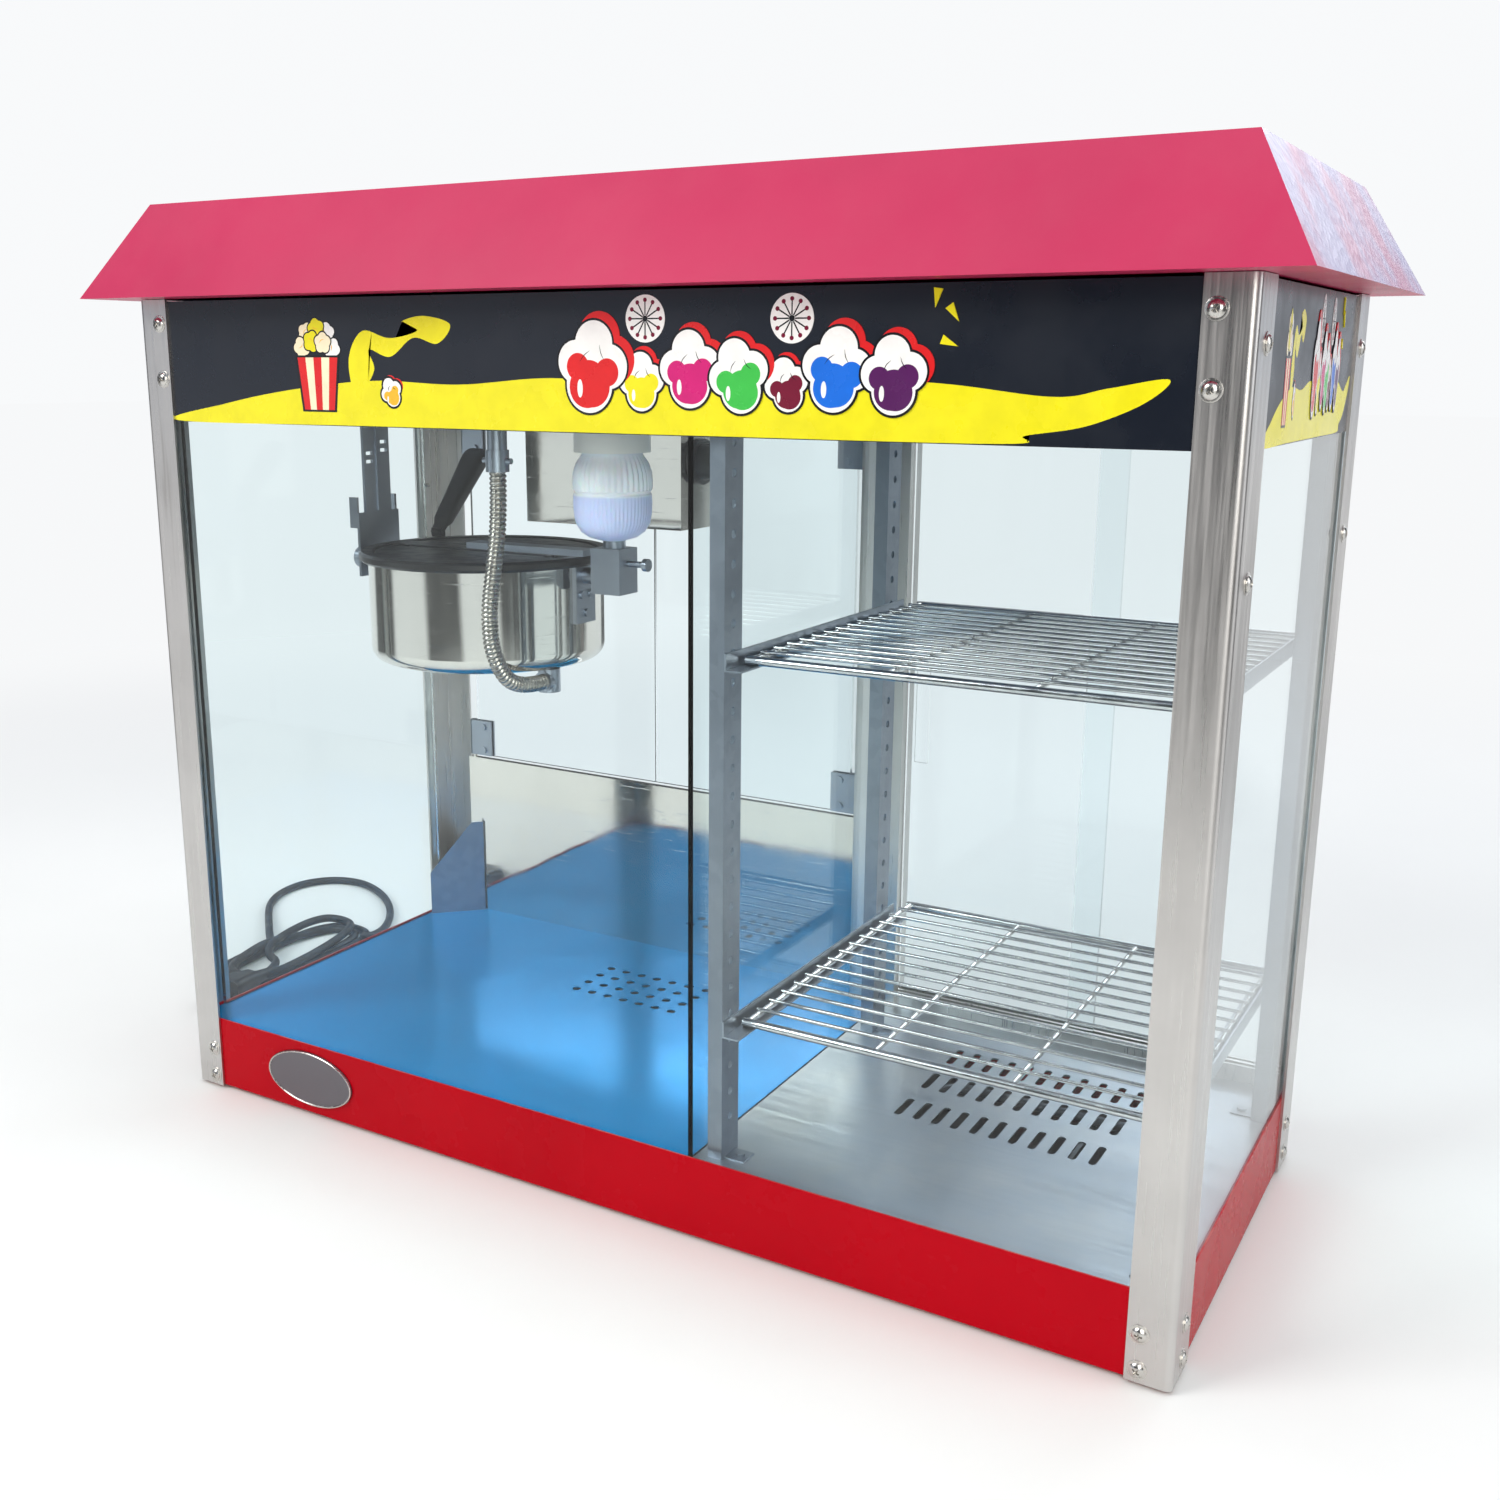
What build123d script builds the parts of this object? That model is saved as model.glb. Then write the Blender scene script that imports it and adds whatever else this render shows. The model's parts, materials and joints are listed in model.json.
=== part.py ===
"""Counter-top popcorn machine with a warming showcase beside its popping chamber.

Millimetres. X runs to the right as seen by a customer, Y to the back, Z up, and the front faces
-Y. The origin is on the surface that the machine stands on, under the middle of its roof.
"""

from build123d import *
import math
import os

os.makedirs("parts", exist_ok=True)

# Body and roof
BODY_W = 860.0
BODY_D = 360.0
EAVE_Z = 672.0
ROOF_TOP_Z = 744.0
OVERHANG_X = 32.0
OVERHANG_Y = 30.0
ROOF_INSET = 41.0
SHEET = 1.2
GLASS = 4.0
HALF_W = BODY_W / 2
HALF_D = BODY_D / 2

# Corner posts, an angle extrusion
POST_FACE = 30.0
POST_SIDE = 40.0
POST_WALL = 2.0
POST_ROUND = 5.0
POST_BOTTOM = 3.0
POST_TOP = 671.5
SHEET_X = HALF_W - POST_WALL
SHEET_Y = HALF_D - POST_WALL
INNER_X = SHEET_X - SHEET
INNER_Y = SHEET_Y - SHEET

# Skirts, floors, glass and fascias
SKIRT_BOTTOM = 4.0
SKIRT_TOP = 66.0
FLOOR_TOP = 64.2
LEDGE = 16.0
GLASS_TOP = 600.0
FASCIA_BOTTOM = 578.0
FASCIA_TOP = 670.0
CEILING_Z = 604.0
PARTITION_X = 76.0

# Screws that hold the panels to the posts
SCREW_R = 2.0
SCREW_HEAD_R = 4.2
SCREW_LENGTH = 5.0
FACE_SCREW_INSET = 22.0
SIDE_SCREW_INSET = 24.0
FACE_SCREW_Z = (12.0, 37.0, 610.5, 653.0)
SIDE_SCREW_Z = (14.0, 39.0, 505.0, 635.0)

# Floor perforations
VENT_R = 4.0
VENT_PITCH_X = 17.0
VENT_PITCH_Y = 19.0
VENT_CENTRE = (-124.0, 72.0)
SLOT_LENGTH = 30.0
SLOT_WIDTH = 6.0
SLOT_PITCH_X = 15.2
SLOT_PITCH_Y = 52.0
SLOT_CENTRE = (255.0, 32.5)

# Rear of the popping chamber
REAR_PANEL_Y = 172.0
REAR_PANEL_TOP = 228.0
MID_POST_X = (47.0, 93.0)
MID_POST_Y = (152.0, 176.0)
DOOR_Y = 174.6
DOOR_Z = (231.5, 572.0)
DOOR_SEAM_X = -170.2
DOOR_GAP = 0.4
HINGE_X = (-392.0, 39.0)
HINGE_PIN_R = 2.5
CLAMP_R = 6.0
CLAMP_REACH = 24.0
CLAMP_H = 36.0
HEADER_Z = (576.0, 602.0)

# Sliding doors of the showcase
TRACK_X = (93.0, 424.0)
PANE_Y = (161.5, 169.5)
PANE_W = 177.0
PANE_Z = (70.5, 590.0)
GROOVE = 5.0
SILL_TOP = 78.0

# Shelves of the showcase
STANDARD_X = (100.0, 411.0)
STANDARD_Y = (-154.0, 105.0)
STANDARD_W = 24.0
STANDARD_DEPTH = 11.5
STANDARD_HOLE_PITCH = 20.0
SHELF_Z = (164.0, 428.0)
SHELF_Y = (-142.0, 150.0)
SHELF_ROD_X = (107.0, 404.0)
SHELF_WIRES = 14
RAIL_Y = (-166.0, 128.0)

# Kettle
KETTLE_X = -208.0
KETTLE_Y = -28.0
KETTLE_R = 97.0
KETTLE_BOTTOM = 384.0
JACKET_TOP = 466.0
RIM_R = 104.0
RIM_TOP = 474.0
PIVOT_Z = 458.0
BOWL_R = 95.0
BOWL_WALL = 1.5
BOWL_FLOOR = 398.0
BRIDGE_HALF = 11.0
LID_R = 91.0
LID_AXIS = 13.5
LID_Z = 472.0
HOUSING_X = -80.0
TRUNNION_R = 6.5
SHAFT_R = 4.0
CROSS_R = 3.0
FIT = 0.05
GEAR_NEAR = 4.3
GEAR_FAR = 8.0

# Control box, lamp and conduit
BOX_X = (-236.0, -76.0)
BOX_Y = (66.0, 160.0)
BOX_BOTTOM = 487.0
KNOB_Y = 92.0
KNOB_Z = 543.0
LAMP = (-46.0, -80.0)
DROPPER = (-122.0, -120.0)
DROPPER_END = 553.0
CONDUIT_R = 6.5
CONDUIT_ENTRY = (-130.0, -50.0)
CONDUIT_Z = 374.0
ROCKER_X = (-205.0, -165.0, -125.0)
ROCKER_Z = 625.0
ROCKER_TILT = 8.0
ROCKER_PIN_R = 1.2

# Drawer under the vent holes
DRAWER_X = (-200.0, -48.0)
DRAWER_Y = (16.0, 177.4)
DRAWER_Z = (20.0, 56.0)

# Power cord
CORD_R = 4.25
GLAND_Y = 115.0
GLAND_Z = 30.0
GLAND_END = -466.0
HANK_CENTRE = (-578.0, 84.0)
HANK_SIZE = (82.0, 190.0)
HANK_BAND = 27.0
HANK_H = 19.0
PLUG_X = -545.0
PLUG_Y = 14.0
PLUG_Z = 13.0


def block(x, y, z, mode=Mode.ADD):
    """A box between two limits on each axis."""
    with Locations(((x[0] + x[1]) / 2, (y[0] + y[1]) / 2, (z[0] + z[1]) / 2)):
        Box(x[1] - x[0], y[1] - y[0], z[1] - z[0], mode=mode)


def rod(start, end, radius, mode=Mode.ADD):
    """A round bar from one point to another."""
    along = Vector(*end) - Vector(*start)
    with Locations(Plane(origin=start, z_dir=along)):
        Cylinder(
            radius, along.length, align=(Align.CENTER, Align.CENTER, Align.MIN), mode=mode
        )


def cone(start, end, radius, end_radius):
    """A tapered round bar from one point to another."""
    along = Vector(*end) - Vector(*start)
    with Locations(Plane(origin=start, z_dir=along)):
        Cone(
            radius, end_radius, along.length, align=(Align.CENTER, Align.CENTER, Align.MIN)
        )


def save(piece, name):
    """Label a finished piece and write it."""
    piece.part.label = name
    export_step(piece.part, f"parts/{name}.step")


def panel_screws():
    """The seat of each panel screw on a post, and the way the screw points."""
    for side in (-1, 1):
        for end in (-1, 1):
            for z in FACE_SCREW_Z:
                seat = (side * (HALF_W - FACE_SCREW_INSET), end * HALF_D, z)
                yield Vector(*seat), Vector(0, -end, 0)
            for z in SIDE_SCREW_Z:
                seat = (side * HALF_W, end * (HALF_D - SIDE_SCREW_INSET), z)
                yield Vector(*seat), Vector(-side, 0, 0)


def drill_panel_screws():
    """Cut the panel screws' holes out of the piece being built."""
    for seat, inward in panel_screws():
        rod(seat - inward, seat + inward * SCREW_LENGTH, SCREW_R, Mode.SUBTRACT)


# ---- Frame and shell ----

with BuildPart() as corner_posts:
    for side in (-1, 1):
        for end in (-1, 1):
            with BuildSketch(Plane.XY.offset(POST_BOTTOM)) as angle:
                with BuildLine():
                    Polyline(
                        (side * HALF_W, end * HALF_D),
                        (side * (HALF_W - POST_FACE), end * HALF_D),
                        (side * (HALF_W - POST_FACE), end * SHEET_Y),
                        (side * SHEET_X, end * SHEET_Y),
                        (side * SHEET_X, end * (HALF_D - POST_SIDE)),
                        (side * HALF_W, end * (HALF_D - POST_SIDE)),
                        close=True,
                    )
                make_face()
                fillet(
                    angle.vertices().sort_by(lambda v: abs(v.X) + abs(v.Y))[-1], POST_ROUND
                )
            extrude(amount=POST_TOP - POST_BOTTOM)
    drill_panel_screws()
save(corner_posts, "corner_posts")

with BuildPart() as front_skirt:
    block((-SHEET_X + 2, SHEET_X - 2), (-SHEET_Y, -INNER_Y), (SKIRT_BOTTOM, SKIRT_TOP))
    for z in (SKIRT_BOTTOM, FLOOR_TOP - 2 * SHEET):
        block((-SHEET_X + 2, SHEET_X - 2), (-INNER_Y, -INNER_Y + LEDGE), (z, z + SHEET))
    drill_panel_screws()
save(front_skirt, "front_skirt")

with BuildPart() as rear_skirt:
    block((-SHEET_X + 2, SHEET_X - 2), (INNER_Y, SHEET_Y), (SKIRT_BOTTOM, SKIRT_TOP))
    for z in (SKIRT_BOTTOM, FLOOR_TOP - 2 * SHEET):
        block((-SHEET_X + 2, SHEET_X - 2), (INNER_Y - LEDGE, INNER_Y), (z, z + SHEET))
    block(
        (DRAWER_X[0] - 3, DRAWER_X[1] + 3),
        (INNER_Y - 1, SHEET_Y + 1),
        (DRAWER_Z[0] - 3, DRAWER_Z[1] + 3),
        Mode.SUBTRACT,
    )
    drill_panel_screws()
save(rear_skirt, "rear_skirt")

with BuildPart() as side_skirts:
    for side in (-1, 1):
        outer = side * SHEET_X
        inner = side * INNER_X
        ledge = side * (INNER_X - LEDGE)
        block(sorted((outer, inner)), (2 - SHEET_Y, SHEET_Y - 2), (SKIRT_BOTTOM, SKIRT_TOP))
        for z in (SKIRT_BOTTOM, FLOOR_TOP - 2 * SHEET):
            reach = INNER_Y - LEDGE - 1
            block(sorted((inner, ledge)), (-reach, reach), (z, z + SHEET))
    drill_panel_screws()
    rod((-HALF_W, GLAND_Y, GLAND_Z), (-HALF_W + 10, GLAND_Y, GLAND_Z), 6, Mode.SUBTRACT)
save(side_skirts, "side_skirts")

with BuildPart() as base_pan:
    pan_top = SKIRT_BOTTOM + 2 * SHEET
    block((4 - SHEET_X, SHEET_X - 4), (4 - SHEET_Y, SHEET_Y - 4), (pan_top - SHEET, pan_top))
    for side, edge in ((-1, DRAWER_X[0] - 4), (1, DRAWER_X[1] + 4)):
        web = sorted((edge, edge - side * SHEET))
        shelf = sorted((edge - side * SHEET, edge - side * 14))
        block(web, (20, 168), (pan_top, DRAWER_Z[0] + 10))
        block(shelf, (20, 168), (DRAWER_Z[0] - 0.4 - SHEET, DRAWER_Z[0] - 0.4))
save(base_pan, "base_pan")

with BuildPart() as rubber_feet:
    for x in (-388, 388):
        for y in (-140, 140):
            cone((x, y, pan_top - SHEET), (x, y, 0), 14, 12)
save(rubber_feet, "rubber_feet")

with BuildPart() as popcorn_floor:
    block((2 - SHEET_X, PARTITION_X), (1 - INNER_Y, INNER_Y - 1), (FLOOR_TOP - SHEET, FLOOR_TOP))
    with Locations((VENT_CENTRE[0], VENT_CENTRE[1], FLOOR_TOP)):
        with GridLocations(VENT_PITCH_X, VENT_PITCH_Y, 7, 4):
            Hole(VENT_R, depth=3 * SHEET)
save(popcorn_floor, "popcorn_floor")

with BuildPart() as showcase_floor:
    block((PARTITION_X, SHEET_X - 2), (1 - INNER_Y, INNER_Y - 1), (FLOOR_TOP - SHEET, FLOOR_TOP))
    with BuildSketch(Plane.XY.offset(FLOOR_TOP)):
        with Locations(SLOT_CENTRE):
            with GridLocations(SLOT_PITCH_X, SLOT_PITCH_Y, 11, 3):
                SlotOverall(SLOT_LENGTH, SLOT_WIDTH, rotation=90)
    extrude(amount=-3 * SHEET, mode=Mode.SUBTRACT)
save(showcase_floor, "showcase_floor")

with BuildPart() as fascia_front:
    block((2 - SHEET_X, SHEET_X - 2), (-SHEET_Y, -INNER_Y), (FASCIA_BOTTOM, FASCIA_TOP))
    block(
        (2 - SHEET_X, SHEET_X - 2), (-INNER_Y, -INNER_Y + 12), (CEILING_Z - SHEET, CEILING_Z)
    )
    drill_panel_screws()
save(fascia_front, "fascia_front")

with BuildPart() as fascia_rear:
    block((2 - SHEET_X, SHEET_X - 2), (INNER_Y, SHEET_Y), (FASCIA_BOTTOM, FASCIA_TOP))
    for x in ROCKER_X:
        block(
            (x - 10, x + 10), (INNER_Y - 1, SHEET_Y + 1), (ROCKER_Z - 13.5, ROCKER_Z + 13.5),
            Mode.SUBTRACT,
        )
    drill_panel_screws()
save(fascia_rear, "fascia_rear")

with BuildPart() as side_fascias:
    for side in (-1, 1):
        plate = sorted((side * SHEET_X, side * INNER_X))
        ledge = sorted((side * INNER_X, side * (INNER_X - 12)))
        block(plate, (2 - SHEET_Y, SHEET_Y - 2), (FASCIA_BOTTOM, FASCIA_TOP))
        block(ledge, (16 - INNER_Y, INNER_Y - 20), (CEILING_Z - SHEET, CEILING_Z))
    drill_panel_screws()
save(side_fascias, "side_fascias")

with BuildPart() as ceiling_plate:
    block((4 - SHEET_X, SHEET_X - 4), (4 - SHEET_Y, SHEET_Y - 4), (CEILING_Z, CEILING_Z + SHEET))
    rod((HOUSING_X, KETTLE_Y, CEILING_Z - 1), (HOUSING_X, KETTLE_Y, CEILING_Z + 2), 10, Mode.SUBTRACT)
    rod((*DROPPER, CEILING_Z - 1), (*DROPPER, CEILING_Z + 2), 7.5, Mode.SUBTRACT)
save(ceiling_plate, "ceiling_plate")


def roof_half(z):
    """Half the roof's width and depth outside, at a height."""
    inset = ROOF_INSET * (z - EAVE_Z) / (ROOF_TOP_Z - EAVE_Z)
    return HALF_W + OVERHANG_X - inset, HALF_D + OVERHANG_Y - inset


with BuildPart() as roof_cover:
    roof_wall = 1.4
    for z in (EAVE_Z, ROOF_TOP_Z):
        with BuildSketch(Plane.XY.offset(z)):
            Rectangle(2 * roof_half(z)[0], 2 * roof_half(z)[1])
    loft()
    for z in (EAVE_Z + SHEET, ROOF_TOP_Z - SHEET):
        with BuildSketch(Plane.XY.offset(z)):
            Rectangle(2 * (roof_half(z)[0] - roof_wall), 2 * (roof_half(z)[1] - roof_wall))
    loft(mode=Mode.SUBTRACT)
    block(
        (6 - HALF_W, HALF_W - 6), (6 - HALF_D, HALF_D - 6), (EAVE_Z - 1, EAVE_Z + 2),
        Mode.SUBTRACT,
    )
save(roof_cover, "roof_cover")

with BuildPart() as outer_glass:
    block(
        (4 - SHEET_X, SHEET_X - 4), (-INNER_Y, GLASS - INNER_Y), (FLOOR_TOP, GLASS_TOP)
    )
    for side in (-1, 1):
        pane = sorted((side * INNER_X, side * (INNER_X - GLASS)))
        reach = HALF_D - POST_SIDE + 8
        block(pane, (-reach, reach), (FLOOR_TOP, GLASS_TOP))
save(outer_glass, "outer_glass")

with BuildPart() as partition_glass:
    block(
        (PARTITION_X, PARTITION_X + GLASS), (GLASS - INNER_Y, MID_POST_Y[0]),
        (FLOOR_TOP, GLASS_TOP),
    )
save(partition_glass, "partition_glass")

with BuildPart() as badge:
    with BuildSketch(Plane.XZ.offset(SHEET_Y)):
        with Locations((-295, 35)):
            Ellipse(47, 24)
    extrude(amount=1.6)
    fillet(badge.edges().group_by(Axis.Y)[0], 0.7)
save(badge, "badge")

with BuildPart() as frame_screws:
    for seat, inward in panel_screws():
        rod(seat, seat + inward * SCREW_LENGTH, SCREW_R)
        cone(seat, seat - inward * 2.4, SCREW_HEAD_R, SCREW_HEAD_R - 1.2)
save(frame_screws, "frame_screws")

# ---- Rear of the popping chamber ----

with BuildPart() as rear_lower_panel:
    panel_x = (HINGE_X[0] - CLAMP_R, MID_POST_X[0])
    back = REAR_PANEL_Y + SHEET
    block(panel_x, (REAR_PANEL_Y, back), (FLOOR_TOP, REAR_PANEL_TOP))
    block(panel_x, (back, SHEET_Y), (REAR_PANEL_TOP - SHEET, REAR_PANEL_TOP))
    for x in HINGE_X:
        rod((x, DOOR_Y, REAR_PANEL_TOP), (x, DOOR_Y, REAR_PANEL_TOP + 15), HINGE_PIN_R)
save(rear_lower_panel, "rear_lower_panel")

with BuildPart() as corner_guard:
    guard_start = Vector(-422, 132, FLOOR_TOP)
    guard_along = Vector(-382, 171, FLOOR_TOP) - guard_start
    upright = Plane(origin=guard_start, x_dir=guard_along, z_dir=(39, -40, 0))
    with BuildSketch(upright):
        with BuildLine():
            Polyline(
                (0, 0), (guard_along.length, 0), (guard_along.length, 96),
                (guard_along.length - 12, 96), (0, 44), close=True,
            )
        make_face()
    extrude(amount=1)
save(corner_guard, "corner_guard")


def door_clamp(hinge_x, toward, z):
    """A corner clamp of a door, round about its hinge pin, with a slot for the pane."""
    reach = sorted((hinge_x, hinge_x + toward * CLAMP_REACH))
    start = hinge_x + toward * CLAMP_R
    rod((hinge_x, DOOR_Y, z[0]), (hinge_x, DOOR_Y, z[1]), 4)
    block(reach, (DOOR_Y - 4, DOOR_Y + 4), z)
    block(
        sorted((start, start + toward * 40)), (DOOR_Y - 2, DOOR_Y + 2),
        (z[0] - 1, z[1] + 1), Mode.SUBTRACT,
    )
    for screw_z in (z[0] + 6, z[1] - 6):
        x = hinge_x + toward * 15
        rod((x, DOOR_Y - 4, screw_z), (x, DOOR_Y - 6, screw_z), 3.4)


clamp_bottom = (DOOR_Z[0], DOOR_Z[0] + CLAMP_H)
clamp_top = (DOOR_Z[1] - CLAMP_H, DOOR_Z[1])
for hinge_x, toward, name in ((HINGE_X[0], 1, "left"), (HINGE_X[1], -1, "right")):
    with BuildPart() as door_clamps:
        for z in (clamp_bottom, clamp_top):
            door_clamp(hinge_x, toward, z)
        rod(
            (hinge_x, DOOR_Y, DOOR_Z[0] - 1), (hinge_x, DOOR_Y, DOOR_Z[1] + 1),
            HINGE_PIN_R + FIT, Mode.SUBTRACT,
        )
    save(door_clamps, f"door_{name}_clamps")
    with BuildPart() as door:
        edges = (hinge_x + toward * CLAMP_R, DOOR_SEAM_X - toward * DOOR_GAP)
        block(sorted(edges), (DOOR_Y - 2, DOOR_Y + 2), DOOR_Z)
    save(door, f"door_{name}")

with BuildPart() as rear_rails:
    block(MID_POST_X, MID_POST_Y, (FLOOR_TOP, GLASS_TOP))
    block(
        (MID_POST_X[0] + 1.5, MID_POST_X[1] - 1.5), (MID_POST_Y[0] + 1.5, MID_POST_Y[1] - 1.5),
        (FLOOR_TOP - 1, GLASS_TOP + 1), Mode.SUBTRACT,
    )
    block((4 - SHEET_X, MID_POST_X[0]), (160, INNER_Y), HEADER_Z)
    block(
        (4 - SHEET_X - 1, MID_POST_X[0] + 1), (162, INNER_Y - 2),
        (HEADER_Z[0] + 2, HEADER_Z[1] - 2), Mode.SUBTRACT,
    )
    for x in HINGE_X:
        rod((x, DOOR_Y, HEADER_Z[0]), (x, DOOR_Y, HEADER_Z[0] - 15), HINGE_PIN_R)
    block(TRACK_X, (156, INNER_Y - 0.6), (582, HEADER_Z[1]))
    block(TRACK_X, (157, 176), (FLOOR_TOP, SILL_TOP))
    for y in PANE_Y:
        groove = (y - GROOVE / 2, y + GROOVE / 2)
        block((TRACK_X[0] - 1, TRACK_X[1] + 1), groove, (581, PANE_Z[1] + 6), Mode.SUBTRACT)
        block(
            (TRACK_X[0] - 1, TRACK_X[1] + 1), groove, (PANE_Z[0] - 0.5, SILL_TOP + 1),
            Mode.SUBTRACT,
        )
save(rear_rails, "rear_rails")

for name, pane_y, pane_x, grip_x in (
    ("inner", PANE_Y[0], TRACK_X[0] + 1, TRACK_X[0] + 14),
    ("outer", PANE_Y[1], TRACK_X[1] - 1 - PANE_W, TRACK_X[1] - 14),
):
    with BuildPart() as showcase_door:
        block((pane_x, pane_x + PANE_W), (pane_y - 2, pane_y + 2), PANE_Z)
        block((grip_x - 6, grip_x + 6), (pane_y + 0.6, pane_y + 3), (290, 370), Mode.SUBTRACT)
    save(showcase_door, f"showcase_door_{name}")

# ---- Showcase shelves and heater ----


def standard(x, y, toward):
    """A slotted channel whose web faces the shelves, with a foot screwed to the floor."""
    web = sorted((x, x - toward * SHEET))
    depth = sorted((x - toward * SHEET, x - toward * STANDARD_DEPTH))
    z = (FLOOR_TOP, GLASS_TOP - 2)
    block(web, (y - STANDARD_W / 2, y + STANDARD_W / 2), z)
    for edge in (y - STANDARD_W / 2, y + STANDARD_W / 2 - SHEET):
        block(depth, (edge, edge + SHEET), z)
    foot = sorted((x, x + toward * 16))
    block(foot, (y - 8, y + 8), (FLOOR_TOP, FLOOR_TOP + SHEET))
    rod((x + toward * 9, y, FLOOR_TOP + SHEET), (x + toward * 9, y, FLOOR_TOP + 3.4), 3.4)
    holes = int((z[1] - z[0] - 40) / STANDARD_HOLE_PITCH)
    for i in range(holes + 1):
        hole_z = z[0] + 30 + i * STANDARD_HOLE_PITCH
        rod((x + toward, y, hole_z), (x - toward * 3, y, hole_z), 3, Mode.SUBTRACT)


with BuildPart() as shelf_standards:
    for x, toward in zip(STANDARD_X, (1, -1)):
        for y in STANDARD_Y:
            standard(x, y, toward)
save(shelf_standards, "shelf_standards")

with BuildPart() as shelf_rails:
    for x, toward in zip(STANDARD_X, (1, -1)):
        for shelf_z in SHELF_Z:
            seat = shelf_z - 3.5
            block(sorted((x, x + toward * SHEET)), RAIL_Y, (seat - SHEET, seat + 11))
            block(sorted((x + toward * SHEET, x + toward * 13)), RAIL_Y, (seat - SHEET, seat))
save(shelf_rails, "shelf_rails")

for name, shelf_z in zip(("lower", "upper"), SHELF_Z):
    with BuildPart() as shelf:
        for x in SHELF_ROD_X:
            rod((x, SHELF_Y[0], shelf_z), (x, SHELF_Y[1], shelf_z), 2.5)
        for x in (SHELF_ROD_X[0] + 99, SHELF_ROD_X[1] - 99):
            rod((x, SHELF_Y[0], shelf_z), (x, SHELF_Y[1], shelf_z), 2)
        for y in SHELF_Y:
            rod((SHELF_ROD_X[0] - 3, y, shelf_z), (SHELF_ROD_X[1] + 3, y, shelf_z), 3.2)
        pitch = (SHELF_Y[1] - SHELF_Y[0]) / (SHELF_WIRES + 1)
        for i in range(1, SHELF_WIRES + 1):
            y = SHELF_Y[0] + i * pitch
            wire_z = shelf_z + 2.6
            rod((SHELF_ROD_X[0] - 2.5, y, wire_z), (SHELF_ROD_X[1] + 2.5, y, wire_z), 1.5)
    save(shelf, f"shelf_{name}")

with BuildPart() as showcase_heater:
    heater_z = 42
    with BuildLine():
        FilletPolyline(
            (330, -12, heater_z), (170, -12, heater_z), (170, 77, heater_z), (330, 77, heater_z),
            radius=30,
        )
    with BuildSketch(Plane(origin=(330, -12, heater_z), z_dir=(-1, 0, 0))):
        Circle(4)
    sweep()
    block((200, 203), (-22, 87), (pan_top, heater_z - 3.6))
    block((300, 303), (-22, 87), (pan_top, heater_z - 3.6))
    block((330, 352), (-22, 87), (pan_top, heater_z + 10))
save(showcase_heater, "showcase_heater")

# ---- Kettle ----

KETTLE_AXIS = Axis((KETTLE_X, KETTLE_Y, 0), (0, 0, 1))
kettle_section = Plane(origin=(KETTLE_X, KETTLE_Y, 0), x_dir=(1, 0, 0), z_dir=(0, -1, 0))
trunnion_start = (KETTLE_X + BOWL_R - 2, KETTLE_Y, PIVOT_Z)
trunnion_end = (HOUSING_X - 11.5, KETTLE_Y, PIVOT_Z)


def drill_trunnion():
    """Cut the hole that the right trunnion passes through."""
    rod(trunnion_start, (KETTLE_X + KETTLE_R + 5, KETTLE_Y, PIVOT_Z), TRUNNION_R, Mode.SUBTRACT)


with BuildPart() as kettle_jacket:
    with BuildSketch(kettle_section) as jacket_section:
        with BuildLine():
            Polyline(
                (0, KETTLE_BOTTOM), (KETTLE_R, KETTLE_BOTTOM), (KETTLE_R, JACKET_TOP),
                (KETTLE_R - 1, JACKET_TOP), (KETTLE_R - 1, KETTLE_BOTTOM + 1),
                (0, KETTLE_BOTTOM + 1), close=True,
            )
        make_face()
        corners = jacket_section.vertices().sort_by(Axis.Y)
        fillet(corners[0:2].sort_by(Axis.X)[-1], 12)
        corners = jacket_section.vertices().filter_by(lambda v: abs(v.Y - KETTLE_BOTTOM - 1) < 0.01)
        fillet(corners.sort_by(Axis.X)[-1], 11)
    revolve(axis=KETTLE_AXIS)
    rod(
        (*CONDUIT_ENTRY, KETTLE_BOTTOM - 1), (*CONDUIT_ENTRY, KETTLE_BOTTOM + 2), 5,
        Mode.SUBTRACT,
    )
    drill_trunnion()
save(kettle_jacket, "kettle_jacket")

with BuildPart() as kettle_bowl:
    with BuildSketch(kettle_section):
        with BuildLine():
            Polyline(
                (0, BOWL_FLOOR), (BOWL_R, BOWL_FLOOR), (BOWL_R, JACKET_TOP),
                (RIM_R - 2, JACKET_TOP), (RIM_R, JACKET_TOP + 2), (RIM_R, RIM_TOP - 2),
                (RIM_R - 2, RIM_TOP), (BOWL_R - BOWL_WALL, RIM_TOP),
                (BOWL_R - BOWL_WALL, BOWL_FLOOR + BOWL_WALL), (0, BOWL_FLOOR + BOWL_WALL),
                close=True,
            )
        make_face()
    revolve(axis=KETTLE_AXIS)
    block(
        (KETTLE_X - BOWL_R + 1, KETTLE_X + BOWL_R - 1),
        (KETTLE_Y - BRIDGE_HALF, KETTLE_Y + BRIDGE_HALF), (RIM_TOP - 4, RIM_TOP),
    )
    for side in (-1, 1):
        hinge_y = KETTLE_Y + side * LID_AXIS
        rod((KETTLE_X - 74, hinge_y, LID_Z), (KETTLE_X + 74, hinge_y, LID_Z), 1)
        for end in (-1, 1):
            lug_x = sorted((KETTLE_X + end * 71, KETTLE_X + end * 77))
            lug_y = sorted((KETTLE_Y + side * (BRIDGE_HALF - 0.5), hinge_y + side * 2))
            block(lug_x, lug_y, (RIM_TOP - 4, RIM_TOP))
    drill_trunnion()
save(kettle_bowl, "kettle_bowl")

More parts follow.
